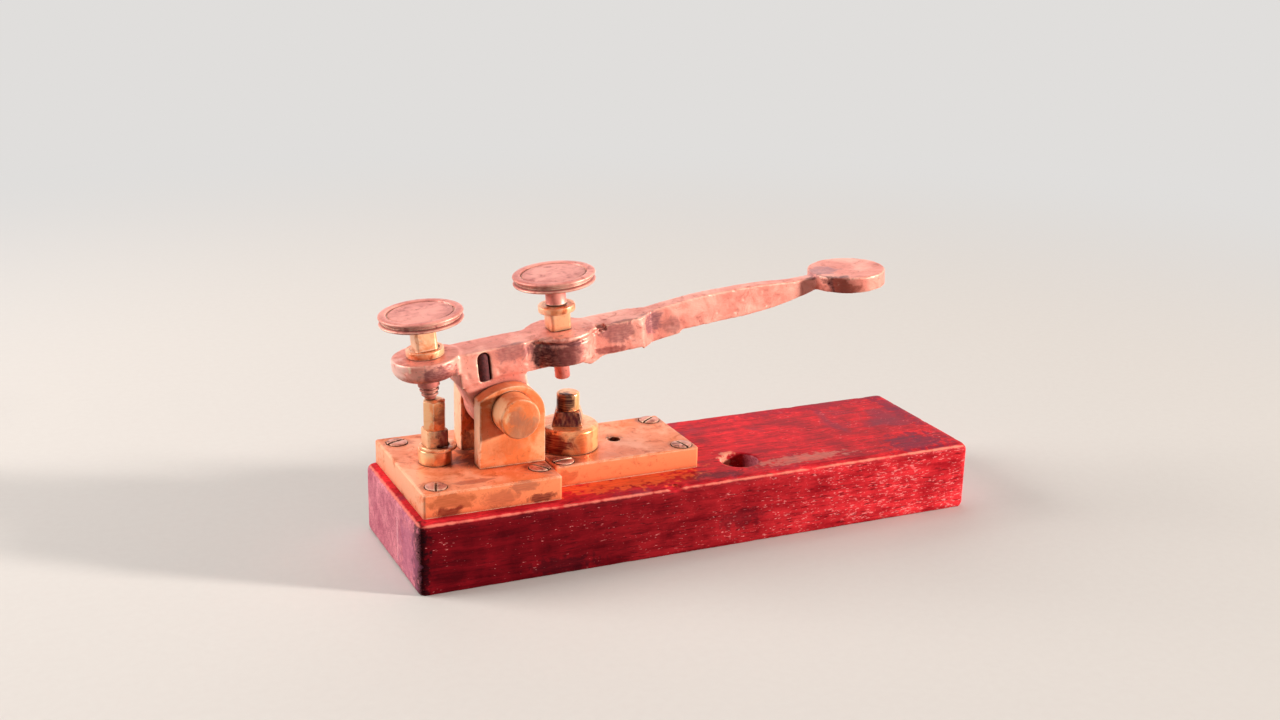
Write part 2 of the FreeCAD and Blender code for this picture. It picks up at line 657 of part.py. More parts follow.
def lever_bar():
    """The bar and handle: what its side view and its plan both allow."""
    lump_left = "lump_reach - lump_half_length"
    lump_right = "lump_reach + lump_half_length"
    side = extruded("bar_side", "side", "0", "2 * bar_width", [
        ("-screw_arm", "rear_arm_bottom"),
        ("neck_right - neck_overlap", "rear_arm_bottom"),
        ("neck_right - neck_overlap", "bar_bottom"),
        (lump_left, "bar_bottom"),
        ("lump_reach", "bar_bottom - lump_drop"),
        (lump_right, "bar_bottom"),
        ("bar_end", "bar_bottom"),
        ("bar_end", "belly_bottom"),
        ("belly_end", "belly_end_bottom"),
        ("handle_start", "handle_bottom"),
        ("handle_curve_start", "handle_bottom"),
        ("handle_end", "handle_end_bottom"),
        ("handle_end", "handle_end_top"),
        ("handle_crest_end", "handle_end_top"),
        ("bar_end", "bar_top"),
        ("-screw_arm", "bar_top"),
    ], {10: ("handle_under_radius", 1), 13: ("handle_crest_radius", 1)})
    shoulder_end = "bar_end + shoulder_length"
    plan = extruded("bar_plan", "above", "0", "2 * bar_top", [
        ("-screw_arm", "-bar_width / 2"),
        ("bar_end", "-bar_width / 2"),
        (shoulder_end, "-handle_width / 2"),
        ("handle_end", "-handle_end_width / 2"),
        ("handle_end", "handle_end_width / 2"),
        (shoulder_end, "handle_width / 2"),
        ("bar_end", "bar_width / 2"),
        ("-screw_arm", "bar_width / 2"),
    ])
    return common("bar_and_handle", [side, plan])


def boss(name, along):
    solid = cylinder(name, f"{name}_diameter / 2", f"{name}_top - {name}_bottom")
    return stand(solid, along, "0", f"{name}_bottom")


def finger_disc():
    """The disc leans about its own middle, where its top is at the height given for it."""
    disc = cylinder("finger_disc", "disc_diameter / 2", "disc_thickness")
    disc.Placement = FreeCAD.Placement(
        Vector(), FreeCAD.Rotation(Vector(0, 1, 0), number("disc_tilt")))
    bind(disc, "Placement.Rotation.Angle", "disc_tilt * 1 deg")
    bind(disc, "Placement.Base.x", "disc_reach - disc_thickness * sin(disc_tilt * 1 deg)")
    bind(disc, "Placement.Base.z", "disc_top - disc_thickness * cos(disc_tilt * 1 deg)")
    return disc


def key_slot():
    """An upright slot with a round top in the neck's front face."""
    half = "key_slot_width / 2"
    straight = f"key_slot_top - {half} - key_slot_bottom"
    depth = "key_diameter + key_slot_fit"
    channel = box("key_channel", "key_slot_width", depth, straight)
    stand(channel, f"-key_reach - {half}", "neck_front", "key_slot_bottom")
    top = cross_cylinder("key_slot_round", half, "neck_front", depth)
    bind(top, "Placement.Base.x", "-key_reach")
    bind(top, "Placement.Base.z", f"key_slot_top - {half}")
    return fuse("key_slot", [channel, top])


neck = extruded("neck", "side", "0", "neck_width", [
    ("-neck_left", "neck_left_bottom"),
    ("neck_right", "neck_right_bottom"),
    ("neck_right", "bar_top"),
    ("-neck_left", "bar_top"),
], {0: ("neck_arch_radius", -1)})
web = extruded("web", "side", "0", "hub_width", [
    ("-web_left", "0"),
    ("web_right", "0"),
    ("web_right", "neck_right_bottom + neck_overlap"),
    ("-neck_left + neck_overlap", "neck_left_bottom + neck_overlap"),
])
hub = cross_cylinder("hub", "hub_diameter / 2", "-hub_width / 2", "hub_width")
lever_solid = fuse("lever_solid", [
    lever_bar(),
    boss("rear_boss", "-screw_arm"),
    boss("front_boss", "screw_arm"),
    neck,
    web,
    hub,
    finger_disc(),
])
spring_flat = box("spring_flat", "hub_diameter", "hub_width", "hub_diameter")
stand(spring_flat, "spring_flat_start", "-hub_width / 2", "-spring_flat_drop - hub_diameter")
screw_bores = [
    stand(cylinder(f"{name}_bore", "thread_hole", "2 * bar_top"), along, "0", "0")
    for name, along in (("rear_boss", "-screw_arm"), ("front_boss", "screw_arm"))
]
hub_bore = cross_cylinder("hub_bore", "axle_diameter / 2 + axle_seat",
                          "-hub_width / 2", "hub_width")
lever_cuts = fuse("lever_cuts", [spring_flat, hub_bore, key_slot()] + screw_bores)
node(lean(cut("lever", lever_solid, lever_cuts)), "lever")

# Iron key that pins the hub: a round pin with a domed top, standing in its slot

key_radius = "key_diameter / 2"
key_shoulder = "key_slot_top - key_slot_width / 2"
key_pin = turned("key_pin", [
    ("0", "key_slot_bottom"),
    (key_radius, "key_slot_bottom"),
    (key_radius, key_shoulder),
    ("0", f"{key_shoulder} + {key_radius}"),
], {2: (key_radius, 1)})
lean(key_pin, "-key_reach")
bind(key_pin, "Placement.Base.y", "works_offset + key_middle")
node(key_pin, "hub_key")


# Thumbscrews and their lock nuts

def thumb_head(under):
    """Half section of a thumbscrew's head, from its collar to the middle of its dished top."""
    rim = "thumb_diameter / 2"
    top = f"{under} + thumb_thickness"
    groove_low = f"{under} + (thumb_thickness - thumb_groove_width) / 2"
    groove_high = f"{under} + (thumb_thickness + thumb_groove_width) / 2"
    return [
        ("collar_diameter / 2", under),
        (f"{rim} - thumb_bevel", under),
        (rim, f"{under} + thumb_bevel"),
        (rim, groove_low),
        (f"{rim} - thumb_groove_depth", groove_low),
        (f"{rim} - thumb_groove_depth", groove_high),
        (rim, groove_high),
        (rim, f"{top} - thumb_bevel"),
        (f"{rim} - thumb_bevel", top),
        (f"{rim} - thumb_rim", top),
        (f"{rim} - thumb_rim - thumb_dish", f"{top} - thumb_dish"),
        ("0", f"{top} - thumb_dish"),
    ]


def thumbscrew(name, boss_top, rise, foot, foot_arcs):
    """A screw in the lever's frame: foot is the half section of its lower end."""
    collar_foot = f"{boss_top} + lock_nut_total + collar_gap"
    corners = foot + [
        ("thread_diameter / 2", collar_foot),
        ("collar_diameter / 2", collar_foot),
    ] + thumb_head(f"{boss_top} + {rise}")
    return turned(name, corners, foot_arcs)


nose_seat = "rear_tip + nose_dome + nose_taper"
rear_screw = thumbscrew("rear_thumbscrew", "rear_boss_top", "rear_head_rise", [
    ("0", nose_seat),
    ("thread_diameter / 2", nose_seat),
], {})
node(lean(rear_screw, "-screw_arm"), "rear_thumbscrew")

dome_height = "contact_dome - sqrt(contact_dome ^ 2 - (thread_diameter / 2) ^ 2)"
front_screw = thumbscrew("front_thumbscrew", "front_boss_top", "front_head_rise", [
    ("0", "front_tip"),
    ("thread_diameter / 2", f"front_tip + {dome_height}"),
], {0: ("contact_dome", 1)})
node(lean(front_screw, "screw_arm"), "front_thumbscrew")

nose_tip = "nose_tip_diameter / 2"
nose_dome_radius = f"(({nose_tip}) ^ 2 + nose_dome ^ 2) / (2 * nose_dome)"
nose = turned("nose", [
    ("0", "rear_tip"),
    (nose_tip, "rear_tip + nose_dome"),
    ("nose_diameter / 2", nose_seat),
    ("nose_diameter / 2", "rear_boss_bottom - nose_gap"),
    ("thread_hole", "rear_boss_bottom - nose_gap"),
    ("thread_hole", nose_seat),
    ("0", nose_seat),
], {0: (nose_dome_radius, 1)})
node(lean(nose, "-screw_arm"), "rear_screw_ferrule")


def lock_nut(name, along, seat, flange_first):
    """A square nut with a round flange, which lies below or above the square."""
    square_foot = f"{seat} + lock_flange_height" if flange_first else seat
    flange_foot = seat if flange_first else f"{seat} + lock_nut_height"
    square = box(name + "_square", "nut_flats", "nut_flats", "lock_nut_height")
    stand(square, "-nut_flats / 2", "-nut_flats / 2", square_foot)
    corners = cylinder(name + "_corners", "nut_flats / sqrt(2) - nut_chamfer",
                       "lock_nut_height")
    stand(corners, "0", "0", square_foot)
    flange = cylinder(name + "_flange", "lock_flange_diameter / 2", "lock_flange_height")
    stand(flange, "0", "0", flange_foot)
    blank = fuse(name + "_blank", [common(name + "_body", [square, corners]), flange])
    bore = stand(cylinder(name + "_bore", "thread_hole", "lock_nut_total"), "0", "0", seat)
    node(lean(cut(name, blank, bore), along), name)


lock_nut("rear_lock_nut", "-screw_arm", "rear_boss_top", True)
lock_nut("front_lock_nut", "screw_arm", "front_boss_top", False)

# Back stop: collar, washer, nut and a stud with a six-sided head

stop_washer_foot = "pivot_plate_top + stop_collar_height"
stop_nut_foot = "pivot_plate_top + stop_collar_height + stop_washer_height"
stop_pillar_foot = f"{stop_nut_foot} + stop_nut_height"


def ring(name, outer, inner, height):
    return cut(name, cylinder(name + "_disc", outer, height),
               cylinder(name + "_hole", inner, height))


stop_collar = ring("stop_collar", "stop_collar_diameter / 2", "thread_hole",
                   "stop_collar_height")
stand(stop_collar, "back_stop_x", "works_offset", "pivot_plate_top")
node(stop_collar, "back_stop_collar")

stop_washer = ring("stop_washer", "stop_washer_diameter / 2",
                   "thread_hole + stop_washer_shift", "stop_washer_height")
stand(stop_washer, "back_stop_x + stop_washer_shift", "works_offset", stop_washer_foot)
node(stop_washer, "back_stop_washer")

stop_square = stand(box("stop_square", "nut_flats", "nut_flats", "stop_nut_height"),
                    "-nut_flats / 2", "-nut_flats / 2", "0")
stop_corners = cylinder("stop_corners", "nut_flats / sqrt(2) - nut_chamfer", "stop_nut_height")
stop_nut = cut("stop_nut", common("stop_nut_body", [stop_square, stop_corners]),
               cylinder("stop_nut_bore", "thread_hole", "stop_nut_height"))
stand(stop_nut, "back_stop_x", "works_offset", stop_nut_foot, "stop_nut_turn")
node(stop_nut, "back_stop_nut")

hexagon = doc.addObject("Part::Prism", "stop_hexagon")
hexagon.Polygon = 6
bind(hexagon, "Circumradius", "stop_pillar_radius")
bind(hexagon, "Height", "stop_pillar_height")
crown = turned("stop_crown", [
    ("0", "0"),
    ("stop_pillar_radius", "0"),
    ("stop_pillar_radius", "stop_pillar_height - stop_crown_height"),
    ("stop_crown_diameter / 2", "stop_pillar_height"),
    ("0", "stop_pillar_height"),
])
scoop = doc.addObject("Part::Sphere", "stop_scoop")
bind(scoop, "Radius", "stop_scoop_radius")
scoop_out = "stop_pillar_flats / 2 + stop_scoop_radius - stop_scoop_depth"
stand(scoop, f"({scoop_out}) * cos(30 deg)", f"-({scoop_out}) * sin(30 deg)",
      "stop_pillar_height - stop_scoop_drop")
stop_thread_length = ("pivot_plate_thickness - stud_end_gap + stop_collar_height"
                      " + stop_washer_height + stop_nut_height")
stop_thread = cylinder("stop_thread", "thread_diameter / 2", stop_thread_length)
stand(stop_thread, "0", "0", f"-({stop_thread_length})")
stop_head = cut("stop_head", common("stop_pillar", [hexagon, crown]), scoop)
stop_stud = fuse("stop_stud", [stop_head, stop_thread])
stand(stop_stud, "back_stop_x", "works_offset", stop_pillar_foot, "stop_pillar_turn")
node(stop_stud, "back_stop_stud")

# Anvil: broad collar, tapered nut and a round-headed stud

anvil_collar = turned("anvil_collar", [
    ("thread_hole", "0"),
    ("anvil_collar_diameter / 2", "0"),
    ("anvil_collar_diameter / 2", "anvil_collar_height - anvil_collar_bevel"),
    ("anvil_collar_diameter / 2 - anvil_collar_bevel", "anvil_collar_height"),
    ("thread_hole", "anvil_collar_height"),
])
stand(anvil_collar, "anvil_x", "works_offset", "contact_plate_top")
node(anvil_collar, "anvil_collar")

anvil_wedge = doc.addObject("Part::Wedge", "anvil_wedge")
for side in ("X", "Z"):
    bind(anvil_wedge, f"{side}min", "-anvil_nut_bottom / 2")
    bind(anvil_wedge, f"{side}max", "anvil_nut_bottom / 2")
    bind(anvil_wedge, f"{side}2min", "-anvil_nut_top / 2")
    bind(anvil_wedge, f"{side}2max", "anvil_nut_top / 2")
anvil_wedge.Ymin = 0
bind(anvil_wedge, "Ymax", "anvil_nut_height")
anvil_wedge.Placement = FreeCAD.Placement(Vector(), UP_TO_FRONT)
anvil_nut = cut("tapered_nut", anvil_wedge,
                cylinder("anvil_nut_bore", "thread_hole", "anvil_nut_height"))
stand(anvil_nut, "anvil_x", "works_offset", "contact_plate_top + anvil_collar_height",
      "anvil_nut_turn")
node(anvil_nut, "anvil_nut")

anvil_thread_foot = "stud_end_gap - contact_plate_thickness"
anvil_pillar_foot = "anvil_collar_height + anvil_nut_height"
anvil_height = f"{anvil_pillar_foot} + anvil_pillar_height"
anvil_stud = turned("anvil_stud", [
    ("0", anvil_thread_foot),
    ("thread_diameter / 2", anvil_thread_foot),
    ("thread_diameter / 2", anvil_pillar_foot),
    ("anvil_pillar_diameter / 2", anvil_pillar_foot),
    ("anvil_pillar_diameter / 2", f"{anvil_height} - anvil_bevel"),
    ("anvil_pillar_diameter / 2 - anvil_bevel", anvil_height),
    ("0", anvil_height),
])
stand(anvil_stud, "anvil_x", "works_offset", "contact_plate_top")
node(anvil_stud, "anvil_stud")


# Return spring between the pivot plate and the flat under the hub

def tangent_arc(start, heading, end):
    """The arc from start to end that leaves start along the heading."""
    chord = end - start
    ahead = Vector(chord).normalize()
    outward = (heading - ahead * heading.dot(ahead)).normalize()
    half_turn = heading.getAngle(chord)
    middle = (start + end) * 0.5 + outward * (chord.Length / 2 * math.tan(half_turn / 2))
    return Part.Arc(start, middle, end).toShape()


def biarc(start, heading, end, arrival):
    """Two arcs that leave start along heading, meet smoothly and reach end along arrival."""
    gap = end - start
    both = heading + arrival
    spread = 2 * (1 - heading.dot(arrival))
    along = gap.dot(both)
    reach = (math.sqrt(along ** 2 + spread * gap.dot(gap)) - along) / spread
    meeting = (start + end + (heading - arrival) * reach) * 0.5
    last = tangent_arc(end, arrival * -1, meeting)
    return [tangent_arc(start, heading, meeting), last]


def coil(radius, wire, turns, height):
    """A round wire wound about Z from zero to the height, in quarter turns."""
    steps = 4 * turns
    climb = (height - wire) / (2 * math.pi * turns)
    spots = []
    headings = []
    for step in range(steps + 1):
        angle = step * math.pi / 2
        spots.append(Vector(radius * math.cos(angle), radius * math.sin(angle),
                            wire / 2 + climb * angle))
        headings.append(Vector(-radius * math.sin(angle), radius * math.cos(angle),
                               climb).normalize())
    edges = []
    for step in range(steps):
        edges += biarc(spots[step], headings[step], spots[step + 1], headings[step + 1])
    path = Part.Wire(Part.__sortEdges__(edges))
    section = Part.Wire(Part.Circle(spots[0], headings[0], wire / 2).toShape())
    tube = path.makePipeShell([section], True, False)
    gap = 2 * math.pi * climb - wire
    print(f"spring: volume {tube.Volume:.3f}, section times length "
          f"{math.pi * wire ** 2 / 4 * path.Length:.3f}, least gap between turns {gap:.2f}")
    return tube


flat_height = "pivot_z + spring_reach * tilt_sin - spring_flat_drop * tilt_cos"
spring_slope = "spring_diameter / 2 * tilt_sin / tilt_cos"
spring_height = number(f"{flat_height} - {spring_slope} - spring_gap - pivot_plate_top")
spring = doc.addObject("Part::Feature", "return_spring")
spring.Shape = coil(number("(spring_diameter - spring_wire) / 2"), number("spring_wire"),
                    round(number("spring_turns")), spring_height)
stand(spring, "pivot_x + spring_reach * tilt_cos + spring_flat_drop * tilt_sin",
      "works_offset", "pivot_plate_top")
node(spring, "return_spring")

# Check every object, then write every sub-part

doc.recompute()
for thing in doc.Objects:
    trouble = {"Invalid", "Error"} & set(thing.State)
    if trouble:
        raise RuntimeError(f"{thing.Label} failed to build: {sorted(trouble)}")
for thing in nodes:
    if thing.Shape.isNull() or not thing.Shape.isValid() or not thing.Shape.Solids:
        raise RuntimeError(f"{thing.Label} has no sound shape")

os.makedirs(PARTS_FOLDER, exist_ok=True)
for thing in nodes:
    thing.Shape.exportStep(f"{PARTS_FOLDER}/{thing.Label}.step")
    print(f"{thing.Label}: {len(thing.Shape.Solids)} solid(s), {thing.Shape.Volume:.1f} mm3")
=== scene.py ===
# %% [markdown]
# A lever telegraph key of the 1840s. The hand presses the finger disc, the long brass lever rocks
# on its axle, and the front thumbscrew meets the anvil and closes the circuit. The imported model
# is the frame: its solids give every place and every joint. This lesson dresses them, piece by
# piece, in the shapes and finishes that casting, turning, filing and 180 years have left.

import json
import math

import bmesh
import bpy
from mathutils import Matrix, Vector, noise


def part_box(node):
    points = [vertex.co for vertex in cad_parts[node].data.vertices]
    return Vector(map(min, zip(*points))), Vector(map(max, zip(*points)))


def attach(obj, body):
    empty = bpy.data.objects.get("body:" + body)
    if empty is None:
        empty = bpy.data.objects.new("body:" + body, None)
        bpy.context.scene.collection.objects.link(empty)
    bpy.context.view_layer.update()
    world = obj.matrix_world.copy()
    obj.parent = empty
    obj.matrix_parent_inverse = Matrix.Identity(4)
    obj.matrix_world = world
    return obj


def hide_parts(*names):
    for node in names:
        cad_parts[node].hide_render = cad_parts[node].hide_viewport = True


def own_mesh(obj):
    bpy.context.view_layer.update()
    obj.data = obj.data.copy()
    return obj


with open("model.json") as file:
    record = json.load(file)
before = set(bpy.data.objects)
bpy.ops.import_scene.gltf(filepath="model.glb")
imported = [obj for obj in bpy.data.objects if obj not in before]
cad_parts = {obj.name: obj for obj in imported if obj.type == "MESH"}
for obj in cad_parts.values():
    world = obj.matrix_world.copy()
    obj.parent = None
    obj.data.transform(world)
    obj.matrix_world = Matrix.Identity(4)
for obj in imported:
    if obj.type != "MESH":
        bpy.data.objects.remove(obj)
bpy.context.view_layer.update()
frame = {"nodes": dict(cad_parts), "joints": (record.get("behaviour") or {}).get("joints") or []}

# %% [markdown]
# The lever leans back at rest, so its pieces are easiest to make in a frame of their own: it
# starts on the pivot axis, X runs along the lever and Z stands square to it. The joints of the
# frame already hold that place and that lean, so nothing is measured twice.

# %% Place of the lever
MM = 0.001
joints = {joint["name"]: joint for joint in frame["joints"]}
pivot = Vector(joints["lever_pivot"]["pos_m"])
lever_up = Vector(joints["rear_thumbscrew_turn"]["axis"])
lever_along = Vector((0, 1, 0)).cross(lever_up)
LEVER = Matrix.Translation(pivot) @ Matrix(
    (lever_along, Vector((0, 1, 0)), lever_up)).transposed().to_4x4()
print("rest tilt", round(math.degrees(math.asin(-lever_up.x)), 2), "degrees")

# %% [markdown]
# Most of these pieces are either turned or filed. A turned piece is a lathe form: a half profile
# spun about an axis. Spinning gives true rounds with as many facets as the eye needs, and the
# profile can carry the small radii that a lathe tool and many polishings leave.

# %% Turn a half profile
def finish_mesh(name, mesh, body, node, material):
    """Makes the piece of a mesh, hangs it on its body, gives it its material and hides the node it
    replaces.
    """
    piece = bpy.data.objects.new(name, mesh)
    bpy.context.scene.collection.objects.link(piece)
    mesh.materials.clear()
    mesh.materials.append(material)
    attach(piece, body)
    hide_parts(node)
    return piece


def shade_smooth(mesh, sharp=None):
    """Shades a mesh smooth, apart from edges that turn by more than an angle in degrees."""
    mesh.polygons.foreach_set("use_smooth", [True] * len(mesh.polygons))
    if sharp:
        mesh.set_sharp_from_angle(angle=math.radians(sharp))


def turned_mesh(name, profile, place, facets=96):
    """A mesh spun about Z from (radius, height) pairs in millimetres, then put in its place."""
    form = bmesh.new()
    rings = []
    for radius, height in profile:
        if radius < 1e-6:
            rings.append([form.verts.new((0, 0, height * MM))])
            continue
        ring = []
        for step in range(facets):
            turn = 2 * math.pi * step / facets
            ring.append(form.verts.new((radius * MM * math.cos(turn),
                                        radius * MM * math.sin(turn), height * MM)))
        rings.append(ring)
    for lower, upper in zip(rings, rings[1:]):
        for step in range(facets):
            after = (step + 1) % facets
            if len(lower) == 1 and len(upper) > 1:
                form.faces.new((lower[0], upper[after], upper[step]))
            elif len(upper) == 1 and len(lower) > 1:
                form.faces.new((lower[step], lower[after], upper[0]))
            elif len(lower) > 1:
                form.faces.new((lower[step], lower[after], upper[after], upper[step]))
    bmesh.ops.recalc_face_normals(form, faces=form.faces)
    mesh = bpy.data.meshes.new(name)
    form.to_mesh(mesh)
    form.free()
    shade_smooth(mesh)
    mesh.transform(place)
    return mesh


# %% [markdown]
# A filed piece has flat faces, but never a razor edge: the file, the thumb and the polishing rag
# take a few tenths of a millimetre off each one. Those soft edges catch the light and are what
# makes metal look solid. Here the frame's own faces are cleaned and their sharp edges are
# rounded with the Bevel modifier, which is much less work than drawing each chamfer.

# %% Soften a node of the frame
def applied(piece):
    """The mesh of a piece with its modifiers worked in; the piece itself goes."""
    bpy.context.view_layer.update()
    graph = bpy.context.evaluated_depsgraph_get()
    mesh = bpy.data.meshes.new_from_object(piece.evaluated_get(graph), depsgraph=graph)
    bpy.data.objects.remove(piece)
    return mesh


def cleaned_copy(node):
    """A loose copy of a node's mesh with its seams joined and its flat faces whole."""
    mesh = frame["nodes"][node].data.copy()
    form = bmesh.new()
    form.from_mesh(mesh)
    bmesh.ops.remove_doubles(form, verts=form.verts, dist=0.002 * MM)
    bmesh.ops.dissolve_limit(form, angle_limit=math.radians(0.5), verts=form.verts,
                             edges=form.edges)
    form.to_mesh(mesh)
    form.free()
    copy = bpy.data.objects.new(node + "_copy", mesh)
    bpy.context.scene.collection.objects.link(copy)
    return copy


def softened_mesh(node, width):
    """A node's mesh with its sharp edges rounded by a width in millimetres."""
    copy = cleaned_copy(node)
    bevel = copy.modifiers.new("worn_edges", "BEVEL")
    bevel.width = width * MM
    bevel.segments = 3
    bevel.limit_method = "ANGLE"
    bevel.angle_limit = math.radians(28)
    bevel.use_clamp_overlap = True
    mesh = applied(copy)
    shade_smooth(mesh, 32)
    return mesh


# %% [markdown]
# Colours are written as hex codes, as a paint chart or a photo editor shows them. Blender's
# sockets want linear light instead, so one function turns the code into the numbers it takes.
# A second one adds a node with its settings and links in a single line, which keeps each
# material short enough to read. A node given for an input stands for its first output. Inputs
# go by name or by number: a Map Range takes its value at 0, the range it comes from at 1 and 2,
# and the range it goes to at 3 and 4. Patterns are made in the millimetres of the piece itself,
# so one over their scale is a real size.

# %% Colours and nodes
def linear(code):
    """A hex colour as linear red, green, blue and alpha."""
    channels = [int(code[place:place + 2], 16) / 255 for place in (1, 3, 5)]
    light = [value / 12.92 if value <= 0.04045 else ((value + 0.055) / 1.055) ** 2.4
             for value in channels]
    return (*light, 1.0)


def add(tree, kind, sockets=None, **settings):
    """Adds a shader node. An input is linked to a given socket or node, or takes a value."""
    node = tree.nodes.new("ShaderNode" + kind)
    for key, value in settings.items():
        setattr(node, key, value)
    for key, value in (sockets or {}).items():
        if isinstance(value, bpy.types.Node):
            value = value.outputs[0]
        if isinstance(value, bpy.types.NodeSocket):
            tree.links.new(value, node.inputs[key])
        else:
            node.inputs[key].default_value = value
    return node


def new_material(name):
    """An empty material and its node tree."""
    material = bpy.data.materials.new(name)
    material.use_nodes = True
    material.node_tree.nodes.clear()
    return material, material.node_tree


def place_in_mm(tree):
    """The texture coordinates of a piece, and its places in millimetres."""
    spot = add(tree, "TexCoord").outputs
    in_mm = add(tree, "VectorMath", {0: spot["Object"], 3: 1 / MM}, operation="SCALE")
    return spot, in_mm


MIX_FACTOR, MIX_FIRST, MIX_SECOND, MIX_RESULT = 0, 6, 7, 2
print("deep mahogany red in linear light", linear("#8a1c1c"))

# %% [markdown]
# Old brass is not one colour. Where fingers and cloth reach, it stays pinkish gold; elsewhere a
# skin of oxide turns it orange, then maroon and brown, thickest in corners. The edges carry a
# pale line, partly where they are rubbed most and partly as a painted highlight. The same recipe
# serves every brass piece here, as layers of colour: clouds of tarnish, small spots, dirt and
# painted shade where surfaces meet, painted shade on faces that don't look up where a colour is
# given for them, and the pale edge line. What changes is how the surface was made, so each call
# says the colours, the size of the clouds and the direction of the file or lathe marks. Patches
# are ragged ellipsoids with a colour each, given in millimetres: stains and rubbed places that
# sit where a hand or a spill has left them, painted shade where other parts keep the lamps off,
# and painted highlights on faces turned to a lamp. No light line crosses them.

# %% Brass of different makings
# Size of a small spot, how far dirt and painted shade reach out of a corner, and how wide
# the pale edge line of wear and painted highlight is.
SPOT_SIZE, DIRT_AND_SHADE_REACH, EDGE_LINE_WIDTH = 1.1, 2.2, 0.55
# How far noise tears the rim of a patch, and where the patch starts and is full.
TEAR, PATCH_RIM, PATCH_FULL = 3.2, 2.85, 2.25


def patch_layers(tree, in_mm, ragged, marks, shares, patches):
    """A (mask, colour) pair for each (centre, radii, colour, amount), thinned by the marks."""
    layers = []
    for centre, radii, colour, amount in patches:
        offset = add(tree, "VectorMath", {0: in_mm, 1: centre}, operation="SUBTRACT")
        shrunk = add(tree, "VectorMath", {0: offset, 1: radii}, operation="DIVIDE")
        reach = add(tree, "VectorMath", {0: shrunk}, operation="LENGTH").outputs[1]
        torn = add(tree, "Math", {0: ragged, 1: TEAR, 2: reach}, operation="MULTIPLY_ADD")
        inside = add(tree, "MapRange", {0: torn, 1: PATCH_RIM, 2: PATCH_FULL},
                     interpolation_type="SMOOTHSTEP")
        thinned = add(tree, "MapRange", {0: marks, 1: 0.35, 2: 0.6, 3: shares[0] * amount,
                                         4: shares[1] * amount})
        mask = add(tree, "Math", {0: inside, 1: thinned}, operation="MULTIPLY")
        layers.append((mask, linear(colour)))
    return layers


